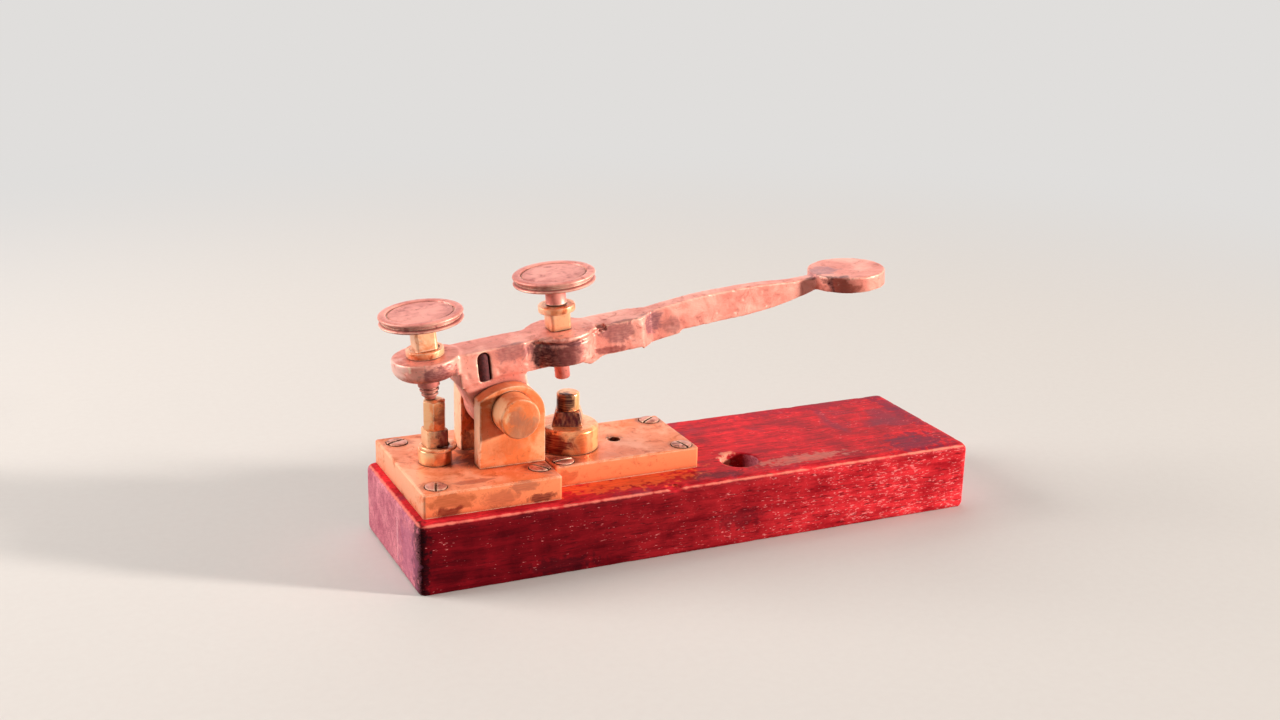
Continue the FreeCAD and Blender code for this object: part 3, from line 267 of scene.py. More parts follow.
def brass(name, clean, warm, tarnish, share, cloud, marks, rough, metallic=0.6, mark_depth=0.25,
          side_shade=None, dirt_and_shade="#4a1410", dirt_and_shade_share=0.8, patches=(), dense=False):
    """Brass with a share of it under clouds of tarnish; cloud is their size in millimetres.

    marks says how many strokes there are along each axis, the colour given for faces that don't
    look up is a painted shade, patches are (centre, radii, colour, amount), and dense says that
    the mesh is fine enough to find its edges by their shape.
    """
    material, tree = new_material(name)
    spot, in_mm = place_in_mm(tree)
    drift = add(tree, "TexNoise", {"Vector": in_mm, "Scale": 1 / (2.6 * cloud), "Detail": 2.0})
    clouds = add(tree, "TexNoise", {"Vector": in_mm, "Scale": 1 / cloud, "Detail": 7.0,
                                    "Roughness": 0.68, "Distortion": 0.6})
    spots = add(tree, "TexNoise", {"Vector": in_mm, "Scale": 1 / SPOT_SIZE, "Detail": 3.0,
                                   "Roughness": 0.6})
    stretched = add(tree, "VectorMath", {0: in_mm, 1: marks}, operation="MULTIPLY")
    strokes = add(tree, "TexNoise", {"Vector": stretched, "Scale": 0.25, "Detail": 4.0})
    low = 0.66 - 0.26 * share
    cloud_mask = add(tree, "MapRange", {0: clouds, 1: low, 2: low + 0.18},
                     interpolation_type="SMOOTHSTEP")
    spot_mask = add(tree, "MapRange", {0: spots, 1: 0.62, 2: 0.72, 4: 0.75},
                    interpolation_type="SMOOTHSTEP")
    both = add(tree, "Math", {0: cloud_mask, 1: spot_mask}, operation="MAXIMUM")
    thinned = add(tree, "MapRange", {0: strokes, 1: 0.3, 2: 0.7, 3: 0.35, 4: 0.9})
    tarnished = add(tree, "Math", {0: both, 1: thinned}, operation="MULTIPLY")
    wash = add(tree, "Math", {0: drift, 1: clouds}, operation="ADD")
    wash = add(tree, "MapRange", {0: wash, 1: 0.86, 2: 1.14})
    layers = [(wash, linear(warm))]
    # Painted shade: faces that don't look up take the colour given for them.
    if side_shade:
        facing_up = add(tree, "SeparateXYZ", {0: spot["Normal"]}).outputs["Z"]
        upright = add(tree, "MapRange", {0: facing_up, 1: 0.8, 2: 0.4})
        layers.append((upright, linear(side_shade)))
    patched = patch_layers(tree, in_mm, clouds, strokes, (0.75, 1.0), patches)
    # Dirt and painted shade: corners darken by how much nearby faces hide them.
    crevice = add(tree, "AmbientOcclusion", {"Distance": DIRT_AND_SHADE_REACH * MM}, samples=6).outputs["AO"]
    corner_dirt_and_shade = add(tree, "MapRange", {0: crevice, 1: 0.75, 2: 0.30, 4: dirt_and_shade_share})
    # The pale edge line below is partly wear and partly a painted highlight.
    shape = add(tree, "NewGeometry").outputs
    if dense:
        on_edge = add(tree, "MapRange", {0: shape["Pointiness"], 1: 0.516, 2: 0.556, 4: 0.8})
    else:
        bent = add(tree, "Bevel", {"Radius": EDGE_LINE_WIDTH * MM}, samples=4)
        turn = add(tree, "VectorMath", {0: bent, 1: shape["Normal"]},
                   operation="DOT_PRODUCT").outputs[1]
        on_edge = add(tree, "MapRange", {0: turn, 1: 0.99, 2: 0.92, 4: 0.95})
    rubbed = add(tree, "MapRange", {0: clouds, 1: 0.66, 2: 0.46})
    wear_and_highlight_edge = add(tree, "Math", {0: on_edge, 1: rubbed}, operation="MULTIPLY")
    if patched:
        covered = patched[0][0]
        for mask, _ in patched[1:]:
            covered = add(tree, "Math", {0: mask, 1: covered}, operation="MAXIMUM")
        bare = add(tree, "Math", {0: 1.0, 1: covered}, operation="SUBTRACT")
        wear_and_highlight_edge = add(tree, "Math", {0: wear_and_highlight_edge, 1: bare}, operation="MULTIPLY")
    layers += [(tarnished, linear(tarnish)), *patched, (corner_dirt_and_shade, linear(dirt_and_shade)),
               (wear_and_highlight_edge, linear("#ffe3c4"))]
    colour = linear(clean)
    for mask, layer in layers:
        colour = add(tree, "Mix", {MIX_FACTOR: mask, MIX_FIRST: colour, MIX_SECOND: layer},
                     data_type="RGBA").outputs[MIX_RESULT]
    roughness = add(tree, "MapRange", {0: tarnished, 3: rough, 4: rough + 0.22})
    grain = add(tree, "Math", {0: strokes, 1: spots}, operation="ADD")
    bump = add(tree, "Bump", {"Strength": mark_depth, "Distance": 0.12 * MM, "Height": grain})
    surface = add(tree, "BsdfPrincipled", {"Base Color": colour, "Metallic": metallic,
                                           "Roughness": roughness, "Normal": bump,
                                           "Specular IOR Level": 0.3})
    add(tree, "OutputMaterial", {0: surface})
    return material


def on_lever(along, across, above):
    """A place on the lever, in the frame's millimetres."""
    return tuple((LEVER @ (Vector((along, across, above)) * MM)) / MM)


LEVER_PATCHES = [
    # Painted shade on the left side of the front boss.
    ((14.5, -8.5, 12.2), (7.0, 5.0, 5.4), "#461218", 1.0),
    ((20.0, -9.5, 12.5), (5.0, 3.0, 4.6), "#84403c", 0.8),
    # Painted shade in the groove under the front boss's lip.
    ((17.0, -8.5, 16.1), (8.0, 4.0, 0.7), "#5a1e22", 0.95),
    ((-18.5, -9.0, 12.8), (5.6, 4.5, 4.4), "#743038", 0.9),
    ((3.5, -5.8, 15.6), (5.6, 1.5, 2.8), "#a05c5a", 0.85),
    ((36.5, -5.5, 14.6), (5.8, 1.5, 3.2), "#9c5a58", 0.9),
    ((33.0, -5.5, 10.0), (5.5, 1.5, 1.2), "#8c3c38", 0.9),
    # Painted shade in the nick at the bar's top edge.
    ((31.2, -5.0, 18.0), (1.5, 2.0, 1.7), "#2c0a0e", 1.0),
    ((37.0, -4.8, 18.0), (5.0, 1.2, 0.7), "#8c4a42", 0.8),
    ((47.5, -3.2, 14.2), (5.0, 1.8, 4.2), "#8a5056", 0.95),
    ((54.0, -2.8, 12.6), (3.6, 1.4, 2.6), "#a2605a", 0.8),
    # Painted shade on the side of the finger disc.
    ((106.5, -9.6, 15.0), (6.6, 4.2, 4.6), "#481418", 1.0),
    # Painted highlight on the left side of the rear boss.
    ((-29.5, 0.0, 14.0), (3.5, 8.0, 5.0), "#ffd6ca", 0.75),
    ((108.0, -10.5, 15.2), (7.0, 3.0, 3.0), "#a04c3c", 0.85),
    ((108.0, 1.0, 18.2), (5.5, 4.5, 1.2), "#a86a70", 0.85),
    ((102.0, -3.0, 18.2), (3.0, 2.0, 1.2), "#82444c", 0.8),
]
PLATE_PATCHES = [
    # Painted highlight on the plate's left end.
    ((-86.3, 1.5, 24.5), (1.0, 26.0, 5.0), "#ffbe98", 0.85),
    ((-78.0, -22.0, 25.2), (7.0, 1.5, 2.4), "#b0522c", 0.75),
    ((-79.5, -22.0, 22.0), (3.6, 1.5, 1.6), "#7c1a12", 0.9),
    ((-64.0, -22.0, 24.0), (6.0, 1.5, 2.6), "#b8583a", 0.7),
    ((-52.0, -22.0, 22.4), (4.5, 1.5, 1.2), "#641010", 0.9),
    ((-57.0, -22.0, 26.4), (5.0, 1.5, 1.6), "#a85a40", 0.75),
    ((-70.0, -17.0, 28.0), (5.0, 1.6, 0.6), "#b05032", 0.8),
    ((-30.0, -10.0, 27.4), (6.0, 2.2, 0.6), "#d87048", 0.6),
    ((-42.0, -13.5, 23.5), (4.0, 1.2, 2.0), "#b4542e", 0.7),
    ((-49.4, -13.7, 28.0), (4.6, 4.6, 0.7), "#8a3428", 0.8),
    ((-81.1, -17.0, 28.0), (4.0, 4.0, 0.7), "#c06040", 0.7),
    ((-81.1, 20.0, 28.0), (4.0, 4.0, 0.7), "#c06040", 0.7),
    ((-40.6, -10.0, 27.4), (4.4, 4.2, 0.7), "#8a3428", 0.85),
    ((-3.0, -10.0, 27.4), (4.4, 4.2, 0.7), "#c8704c", 0.7),
    ((-3.0, 13.0, 27.4), (4.4, 4.2, 0.7), "#a85840", 0.8),
    ((-19.3, 3.1, 24.2), (3.4, 3.4, 3.6), "#240808", 1.0),
    # Painted shade on the plate between the ears.
    ((-58.0, 0.0, 28.0), (13.0, 7.5, 0.9), "#64190e", 0.9),
]
EAR_PATCHES = [
    ((-55.0, -16.5, 41.0), (4.2, 1.2, 4.0), "#a06850", 0.65),
    ((-57.5, -16.5, 45.0), (2.6, 1.2, 2.6), "#b06a50", 0.7),
    ((-59.0, -9.0, 33.5), (6.0, 1.0, 3.0), "#c06c40", 0.5),
    # Painted highlights on the left faces of the two ears.
    ((-65.6, -6.6, 39.0), (0.7, 4.0, 13.0), "#ffd2b0", 0.9),
    ((-65.6, 10.4, 39.0), (0.7, 5.0, 13.0), "#ffd2b0", 0.9),
    # Painted shade on the inner face of the back ear.
    ((-54.0, 7.2, 36.0), (11.0, 0.9, 13.0), "#7a2818", 0.85),
    # Painted highlight on the left side of the axle.
    ((-61.5, -13.0, 46.5), (2.5, 5.0, 4.0), "#ffd0a0", 0.7),
]
cast_brass = brass("Cast_brass_filed_by_hand", "#ffb2a0", "#e68a7a", "#94483f", share=0.46,
                   cloud=5.0, marks=(3.0, 3.0, 9.0), mark_depth=0.35, rough=0.46, metallic=0.3,
                   patches=[(on_lever(*spot), *rest) for spot, *rest in LEVER_PATCHES],
                   dense=True)
# The plates' faces that don't look up are given a painted shade.
plate_brass = brass("Rolled_brass_plate_stained", "#fda680", "#ea7c48", "#a43e24", share=0.48,
                    cloud=5.0, marks=(1.2, 14.0, 14.0), rough=0.46, metallic=0.25,
                    side_shade="#fa8c5c", patches=PLATE_PATCHES)
ear_brass = brass("Rolled_brass_ears_filed", "#ffa878", "#ee7c44", "#a85834", share=0.42,
                  cloud=4.5, marks=(6.0, 6.0, 2.0), rough=0.46, metallic=0.08,
                  patches=EAR_PATCHES)
thumb_brass = brass("Turned_brass_dulled_by_fingers", "#f09e90", "#d27c72", "#8c4642", share=0.42,
                    cloud=4.0, marks=(4.0, 4.0, 10.0), mark_depth=0.15, rough=0.46, metallic=0.3,
                    dirt_and_shade="#4c1416", dirt_and_shade_share=1.0,
                    patches=[((-77.0, 1.5, 50.5), (5.0, 5.0, 4.0), "#9c5248", 0.75)])
NUT_PATCHES = [
    # Oxide and painted shade on the anvil nut.
    ((-37.5, -2.6, 36.5), (6.0, 4.8, 4.6), "#4e0e16", 1.0),
    # Oxide and painted shade on the right side of the back stop nut.
    ((-73.0, -1.8, 35.5), (3.2, 3.2, 3.8), "#7a1c1c", 0.95),
    # Painted highlight on the left side of the back stop nut.
    ((-78.6, 1.5, 35.6), (1.6, 5.0, 3.6), "#ffca9c", 0.8),
    # Painted highlights on the left sides of the two lock nuts.
    ((-82.0, 1.5, 64.0), (2.6, 5.0, 5.0), "#ffd2b0", 0.75),
    ((-43.0, 1.5, 67.5), (2.6, 5.0, 5.0), "#ffd2b0", 0.75),
]
POST_PATCHES = [
    # Oxide and painted shade on the left of the anvil collar.
    ((-41.8, -4.4, 30.0), (5.2, 6.0, 5.2), "#6c0c12", 1.0),
    ((-34.5, -7.5, 30.5), (2.4, 2.4, 4.4), "#a03c1e", 0.6),
    # Tarnish and painted shade on the anvil stud.
    ((-37.2, -0.6, 41.5), (3.2, 3.6, 4.6), "#3c1014", 1.0),
    # Oxide and painted shade on the right of the back stop stud.
    ((-73.2, -1.0, 42.0), (2.8, 2.8, 5.0), "#8c3c28", 0.9),
    ((-74.5, -3.2, 30.4), (2.4, 2.4, 2.6), "#a83a20", 0.7),
    # Painted highlights: right of the anvil collar and stud, left of the back stop stud and
    # collar.
    ((-28.6, -5.2, 31.0), (1.8, 1.8, 6.0), "#ffd290", 0.9),
    ((-32.0, -1.4, 41.5), (1.5, 1.8, 5.0), "#ffcf90", 0.9),
    ((-78.8, 0.5, 42.0), (1.5, 3.5, 7.0), "#ffca98", 0.8),
    ((-79.0, -1.0, 30.2), (2.4, 2.4, 3.4), "#ffd8a4", 0.8),
]
nut_brass = brass("Filed_brass_nuts", "#ffc496", "#ee8450", "#7a2018", share=0.42, cloud=3.0,
                  marks=(5.0, 5.0, 2.0), rough=0.36, metallic=0.4, patches=NUT_PATCHES)
post_brass = brass("Turned_brass_posts", "#ffbc88", "#f08850", "#86261a", share=0.36, cloud=4.0,
                   marks=(1.0, 1.0, 16.0), mark_depth=0.18, rough=0.28, metallic=0.5,
                   patches=POST_PATCHES)
# Dirt and painted shade go near black in the slots and round each head.
screw_brass = brass("Worn_brass_wood_screws", "#dc9482", "#b86c58", "#4a1412", share=0.62,
                    cloud=2.0, marks=(6.0, 6.0, 6.0), mark_depth=0.3, rough=0.40, dirt_and_shade="#1c0606",
                    dirt_and_shade_share=1.0)
print("brass finishes:", len([1 for item in bpy.data.materials if "brass" in item.name.lower()]))

# %% [markdown]
# The block is mahogany, stained and polished to a deep red. Its grain runs the long way, with
# fine dark pores and short pale flecks where the polish has worn through. Both are a little
# over a third of a millimetre thick, the pores ten times as long and the flecks four times. The
# sawn ends drink the stain differently and have faded to a mauve pink. The sides are painted much
# darker at the left end than at the right, as painted shade turning into painted light, and the
# flecks and the bright line that years of handling have worn along the top edge follow it.
# Scrapes, stains and a spill are patches, as on the brass; so are an orange strip along the top
# and painted shade at the front left corner and low on the left end.

# %% Polished mahogany
# Faces of the block, places between which its sides go from painted shade to painted light,
# and how far from the top edge the bright line starts and is full.
BLOCK_TOP, BLOCK_SIDE, BLOCK_END = 21.0, 26.0, 89.0
SHADED_END, LIT_END = -58.0, 84.0
LINE_RIM, LINE_FULL = 1.5, 1.1


def mahogany(name, patches):
    """Wood with stains and scrapes: patches are (centre, radii, colour, amount)."""
    material, tree = new_material(name)
    spot, in_mm = place_in_mm(tree)
    patterns = []
    for stretch, settings in (
            ((0.09, 1, 1), {"Scale": 0.55, "Detail": 8.0, "Roughness": 0.7, "Distortion": 0.3}),
            ((1, 1, 1), {"Scale": 1 / 9.0, "Detail": 5.0, "Roughness": 0.65}),
            ((0.28, 2.6, 2.6), {"Scale": 1.0, "Detail": 2.0}),
            ((0.7, 2.6, 2.6), {"Scale": 1.0, "Detail": 2.0, "Roughness": 0.6}),
            ((1, 1, 1), {"Scale": 1 / 17.0, "Detail": 4.0, "Distortion": 0.8}),
            ((1, 1, 1), {"Scale": 0.5, "Detail": 3.0})):
        along = add(tree, "VectorMath", {0: in_mm, 1: stretch}, operation="MULTIPLY")
        patterns.append(add(tree, "TexNoise", {"Vector": along, **settings}))
    grain, mottle, pores, flecks, stains, ragged = patterns
    x, y, z = add(tree, "SeparateXYZ", {0: in_mm}).outputs
    # Painted shade at the left end, painted light at the right.
    painted_light_ramp = add(tree, "MapRange", {0: x, 1: SHADED_END, 2: LIT_END},
                interpolation_type="SMOOTHSTEP")
    tone = add(tree, "Math", {0: grain, 1: mottle}, operation="ADD")
    tone = add(tree, "MapRange", {0: tone, 1: 0.80, 2: 1.20})
    # The side colours run from painted shade at the left end to painted light at the right.
    shades = []
    for mask, first, second in ((painted_light_ramp, "#4c030c", "#a81420"), (painted_light_ramp, "#800c18", "#f4363e"),
                                (tone, "#a00f20", "#f0343c"), (tone, "#b85a70", "#ec96a2")):
        shades.append(add(tree, "Mix", {MIX_FACTOR: mask, MIX_FIRST: linear(first),
                                        MIX_SECOND: linear(second)},
                          data_type="RGBA").outputs[MIX_RESULT])
    skin, side, top, end = shades
    faces = add(tree, "SeparateXYZ", {0: spot["Normal"]}).outputs
    is_top = add(tree, "MapRange", {0: faces["Z"], 1: 0.5, 2: 0.85})
    is_end = add(tree, "Math", {0: faces["X"]}, operation="ABSOLUTE")
    is_end = add(tree, "MapRange", {0: is_end, 1: 0.6, 2: 0.9})
    pore_mask = add(tree, "MapRange", {0: pores, 1: 0.58, 2: 0.70, 4: 0.75})
    stain_mask = add(tree, "MapRange", {0: stains, 1: 0.56, 2: 0.70, 4: 0.62},
                     interpolation_type="SMOOTHSTEP")
    stain_mask = add(tree, "Math", {0: stain_mask, 1: is_top}, operation="MULTIPLY")
    # More flecks show where the painted light is.
    limit = add(tree, "MapRange", {0: painted_light_ramp, 3: 0.86, 4: 0.745})
    for rise, amount in ((mottle, -0.32), (is_top, 0.07)):
        limit = add(tree, "Math", {0: rise, 1: amount, 2: limit}, operation="MULTIPLY_ADD")
    fleck_mask = add(tree, "Math", {0: flecks, 1: limit}, operation="SUBTRACT")
    fleck_mask = add(tree, "MapRange", {0: fleck_mask, 2: 0.07, 4: 0.72})
    across, endways = [add(tree, "Math", {0: place}, operation="ABSOLUTE")
                       for place in (y, x)]
    by_side, by_end, by_top = [
        add(tree, "Math", {0: reach, 1: place}, operation="SUBTRACT")
        for reach, place in ((BLOCK_SIDE, across), (BLOCK_END, endways), (BLOCK_TOP, z))]
    inset = add(tree, "Math", {0: by_side, 1: by_end}, operation="MINIMUM")
    # The worn top edge line is painted brighter where the painted light is.
    wear_and_highlight_edge = add(tree, "MapRange", {0: painted_light_ramp, 3: 0.72, 4: 1.0})
    for gap in (inset, by_top):
        torn = add(tree, "Math", {0: ragged, 1: 0.8, 2: gap}, operation="MULTIPLY_ADD")
        near = add(tree, "MapRange", {0: torn, 1: LINE_RIM, 2: LINE_FULL})
        wear_and_highlight_edge = add(tree, "Math", {0: wear_and_highlight_edge, 1: near}, operation="MULTIPLY")
    layers = [(tone, side), (is_top, top), (is_end, end), (pore_mask, linear("#4a0610")),
              (stain_mask, linear("#7a3346")), (fleck_mask, linear("#ff9a98"))]
    layers += patch_layers(tree, in_mm, ragged, pores, (1.0, 0.6), patches)
    layers.append((wear_and_highlight_edge, linear("#ff8f7c")))
    for mask, layer in layers:
        skin = add(tree, "Mix", {MIX_FACTOR: mask, MIX_FIRST: skin, MIX_SECOND: layer},
                   data_type="RGBA").outputs[MIX_RESULT]
    relief = add(tree, "Math", {0: grain, 1: fleck_mask}, operation="SUBTRACT")
    bump = add(tree, "Bump", {"Strength": 0.3, "Distance": 0.2 * MM, "Height": relief})
    roughness = add(tree, "MapRange", {0: tone, 3: 0.45, 4: 0.62})
    surface = add(tree, "BsdfPrincipled", {"Base Color": skin, "Roughness": roughness,
                                           "Normal": bump, "IOR": 1.5,
                                           "Specular IOR Level": 0.05})
    add(tree, "OutputMaterial", {0: surface})
    return material


WOOD_PATCHES = [
    ((4.0, -21.0, 21.0), (9.0, 2.6, 1.5), "#561424", 0.85),
    ((34.0, -18.5, 21.0), (14.0, 3.0, 1.5), "#d48a7c", 0.75),
    ((74.0, -19.0, 21.0), (10.0, 7.5, 1.5), "#5c2a44", 0.8),
    ((85.5, 12.0, 21.0), (3.5, 16.0, 1.5), "#6a2440", 0.7),
    ((60.0, 22.0, 21.0), (30.0, 3.5, 1.5), "#7c1a34", 0.6),
    ((-24.0, -16.5, 21.0), (22.0, 5.0, 1.2), "#f8703c", 0.9),
    ((9.2, -26.0, 8.3), (7.0, 1.2, 3.0), "#3a0c18", 0.55),
    ((-47.0, -26.0, 2.5), (10.0, 1.2, 2.6), "#2c0610", 0.7),
    ((13.2, -10.0, 18.5), (3.6, 4.2, 6.5), "#f0a488", 0.95),
    # Painted shade on the front left corner.
    ((-88.9, -25.4, 9.0), (2.8, 4.6, 22.0), "#12040a", 1.0),
    ((-89.0, -5.6, 10.0), (1.0, 0.4, 7.0), "#ffc8cc", 0.8),
    # Painted shade low on the left end, towards the front.
    ((-89.0, -16.0, 9.0), (1.0, 9.0, 9.0), "#b06484", 0.6),
]
block_wood = mahogany("Mahogany_stained_and_polished", WOOD_PATCHES)
print("wood:", block_wood.name)

# %% [markdown]
# Two small things are iron and steel. The key that pins the hub has rusted to a dry, dark
# maroon brown with hardly any shine. The return spring is drawn steel wire, still grey and
# smooth, with the brown of old oil on it.

# %% Iron and steel
def ferrous(name, ground, bloom, grit, rough, metallic):
    """Iron or steel with a bloom of rust whose grit size is in millimetres."""
    material, tree = new_material(name)
    in_mm = place_in_mm(tree)[1]
    specks = add(tree, "TexNoise", {"Vector": in_mm, "Scale": 1 / grit, "Detail": 6.0,
                                    "Roughness": 0.7})
    mask = add(tree, "MapRange", {0: specks, 1: 0.38, 2: 0.62})
    colour = add(tree, "Mix", {MIX_FACTOR: mask, MIX_FIRST: linear(ground),
                               MIX_SECOND: linear(bloom)}, data_type="RGBA").outputs[MIX_RESULT]
    bump = add(tree, "Bump", {"Strength": 0.5, "Distance": 0.1 * MM, "Height": specks})
    surface = add(tree, "BsdfPrincipled", {"Base Color": colour, "Metallic": metallic,
                                           "Roughness": rough, "Normal": bump})
    add(tree, "OutputMaterial", {0: surface})
    return material


rusted_iron = ferrous("Wrought_iron_rusted", "#3a1418", "#6e2e30", 0.8, 0.8, 0.2)
spring_steel = ferrous("Drawn_steel_wire_oiled", "#8b8580", "#6a4a3c", 0.5, 0.35, 0.9)
print("iron and steel:", rusted_iron.name, "and", spring_steel.name)

# %% [markdown]
# The block is sawn and planed, then its edges are rounded by wear, more in some places than in
# others. A remesh turns it into small even cells, about half a millimetre, so that smoothing can
# round every edge and noise can bite chips out of the front one. Modelled wear shows from every
# side, which a painted line alone wouldn't. Wear only takes wood away, so at the end no vertex
# may lie outside the solid's box.

# %% Wooden block
def remeshed(copy, cell):
    """The copy's mesh rebuilt of even cells, their size in millimetres."""
    remesh = copy.modifiers.new("cells", "REMESH")
    remesh.mode = "VOXEL"
    remesh.voxel_size = cell * MM
    remesh.adaptivity = 0.0
    return applied(copy)


def smooth_mesh(mesh, rounds, near=None):
    """Relaxes a mesh: each vertex, or each that is near, moves halfway to its neighbours."""
    form = bmesh.new()
    form.from_mesh(mesh)
    chosen = [vert for vert in form.verts if near is None or near(vert.co)]
    for _ in range(rounds):
        bmesh.ops.smooth_vert(form, verts=chosen, factor=0.5, use_axis_x=True,
                              use_axis_y=True, use_axis_z=True)
    form.to_mesh(mesh)
    form.free()


block_low, block_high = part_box("base_block")
wood = remeshed(cleaned_copy("base_block"), 0.55)
smooth_mesh(wood, 3)
# How far wear reaches in from the sides, down from the top and up from the foot, and the
# bites out of the front top edge: place, depth and half width.
WORN, TOP_WORN, FOOT_WORN = 3.0, 2.0, 1.5
BITES = ((-12.0, 1.3, 2.6), (34.0, 0.5, 5.0), (62.0, 0.35, 3.5), (-48.0, 0.3, 4.0))
for vert in wood.vertices:
    from_front = (vert.co.y - block_low.y) / MM
    gaps = {(0, 1, 0): from_front, (0, -1, 0): (block_high.y - vert.co.y) / MM,
            (1, 0, 0): (vert.co.x - block_low.x) / MM, (-1, 0, 0): (block_high.x - vert.co.x) / MM}
    upright = min(gaps.values())
    if upright > WORN:
        continue
    inward = sum((Vector(way) for way, gap in gaps.items() if gap < WORN), Vector())
    spot = vert.co / MM
    rough = noise.fractal(spot * 0.16, 1.0, 2.0, 4)
    near_top = max(0.0, 1.0 - (block_high.z - vert.co.z) / MM / TOP_WORN)
    near_foot = max(0.0, 1.0 - vert.co.z / MM / FOOT_WORN)
    nearest = max(near_top, near_foot * 0.8)
    depth = nearest * (0.22 + 0.30 * max(0.0, rough)) + 0.03 * abs(noise.noise(spot * 0.5))
    for along, deep, wide in BITES:
        if from_front < 2.5 and near_top > 0:
            reach = abs(spot.x - along) / wide
            ragged = 0.7 + 0.3 * noise.noise(spot)
            depth += deep * near_top * max(0.0, 1.0 - reach * reach) * ragged
    vert.co += inward * depth * MM
    if near_top > 0 and upright < TOP_WORN:
        vert.co.z -= 0.6 * depth * near_top * MM
for vert in wood.vertices:
    vert.co = Vector([min(max(value, low), high)
                      for value, low, high in zip(vert.co, block_low, block_high)])
shade_smooth(wood)
finish_mesh("mahogany_block", wood, "base", "base_block", block_wood)
print("block cells:", len(wood.polygons))

# %% [markdown]
# Two plates cut from thick sheet carry the works. Their faces are flat and their edges filed,
# so softening is enough. The plates are separate on purpose: the gap between them is part of
# the circuit. The ears are sawn from sheet too, with crowns rounded by a file.

# %% Plates, ears and axle
for node in ("pivot_plate", "contact_plate"):
    finish_mesh(node + "_filed", softened_mesh(node, 0.35), "base", node,
                plate_brass)
for node in ("front_ear", "back_ear"):
    finish_mesh(node + "_filed", softened_mesh(node, 0.35), "base", node, ear_brass)
finish_mesh("axle_turned", softened_mesh("axle", 0.3), "lever_arm", "axle", ear_brass)

# %% [markdown]
# The wood screws are the oldest trick of the trade: a countersunk head with a slot, driven
# flush. Turnscrews have slipped in them for years, so the heads stand a little proud, their
# slots are chewed and a dark ring of dirt and painted shade surrounds each. The head is a
# lathe form, and the slot is cut with a Boolean, which is the quickest way to cut one solid
# with another.

# %% Wood screws
def slotted(mesh, place, wide, deep, length, top):
    """Cuts a slot across the head; all sizes are in millimetres, in the screw's own place."""
    head = bpy.data.objects.new("head", mesh)
    cutter_mesh = bpy.data.meshes.new("cutter")
    form = bmesh.new()
    bmesh.ops.create_cube(form, size=1.0)
    bmesh.ops.scale(form, vec=(length * MM, wide * MM, 2 * deep * MM), verts=form.verts)
    bmesh.ops.translate(form, vec=(0, 0, top * MM), verts=form.verts)
    form.to_mesh(cutter_mesh)
    form.free()
    cutter_mesh.transform(place)
    cutter = bpy.data.objects.new("cutter", cutter_mesh)
    for thing in (head, cutter):
        bpy.context.scene.collection.objects.link(thing)
    boolean = head.modifiers.new("slot", "BOOLEAN")
    boolean.object = cutter
    boolean.solver = "EXACT"
    bevel = head.modifiers.new("burrs", "BEVEL")
    bevel.width = 0.08 * MM
    bevel.segments = 2
    bevel.limit_method = "ANGLE"
    bevel.angle_limit = math.radians(35)
    result = applied(head)
    bpy.data.objects.remove(cutter)
    return result


def joined(name, meshes):
    """One mesh of several."""
    form = bmesh.new()
    for mesh in meshes:
        form.from_mesh(mesh)
    result = bpy.data.meshes.new(name)
    form.to_mesh(result)
    form.free()
    return result


SCREW_PROFILE = [(0.0, -16.0), (0.4, -16.0), (1.7, -13.0), (1.7, -2.2), (3.0, -0.3),
                 (3.05, 0.18), (2.8, 0.36), (1.6, 0.48), (0.0, 0.52)]
HEAD_ROOM = 7.2  # no two heads are this close, and none is this wide


def screw_places(node):
    """Middles of the separate screw heads of a node, found from the points of their tops."""
    points = [vert.co.copy() for vert in frame["nodes"][node].data.vertices]
    high = max(point.z for point in points)
    heads = []
    for point in points:
        if point.z < high - 0.02 * MM:
            continue
        for head in heads:
            if (head[0] - point).length < HEAD_ROOM * MM:
                head.append(point)
                break
        else:
            heads.append([point])
    middles = []
    for head in heads:
        xs = [point.x for point in head]
        ys = [point.y for point in head]
        middles.append(Vector(((min(xs) + max(xs)) / 2, (min(ys) + max(ys)) / 2, high)))
    return sorted(middles, key=lambda spot: (round(spot.x, 3), spot.y))


for node, turns in (("pivot_plate_screws", (72, 20, 125, 48)),
                    ("contact_plate_screws", (8, 66, 102, 35))):
    found = screw_places(node)
    print(node, "heads at", [tuple(round(value / MM, 1) for value in spot) for spot in found])
    heads = []
    for spot, turn in zip(found, turns):
        place = Matrix.Translation(spot) @ Matrix.Rotation(math.radians(turn), 4, "Z")
        head = turned_mesh("wood_screw", SCREW_PROFILE, place, 48)
        heads.append(slotted(head, place, wide=0.75, deep=0.9, length=8.0, top=0.5))
    mesh = joined(node, heads)
    shade_smooth(mesh, 35)
    finish_mesh(node + "_worn", mesh, "base", node, screw_brass)

# %% [markdown]
# The lever is one sand casting, cleaned up with files. A casting has no sharp inner corners:
# the sand would wash away. To get such fillets everywhere at once, the frame's lever is rebuilt
# of cells a third of a millimetre wide and relaxed, more at the two round bosses, which were
# only dressed by hand. Then shallow hollows from the file and a few pits are pressed in. The
# bores for the axle and the screws are machined, so they are set back to size at the end.

# %% Cast lever
INTO_LEVER = LEVER.inverted()
REAR, FRONT = -20.0, 20.0  # places of the two screws along the lever
SCREW_BORE, AXLE_BORE = 2.28, 5.93
HUB_RADIUS, BAR_FOOT, BOSS_REACH = 9.8, 8.0, 11.5
NICK_AT, NICK_HALF = 31.2, 1.6
LIP_AT, LIP_HALF = 16.05, 0.85
# The rear boss is round above its foot: pairs of height and radius.
BOSS_FOOT = 7.2
BOSS_ROUND = ((12.0, 7.4), (12.7, 8.5), (13.6, 9.25), (14.8, 9.7), (17.2, 9.7), (17.7, 9.5),
              (18.1, 9.1))


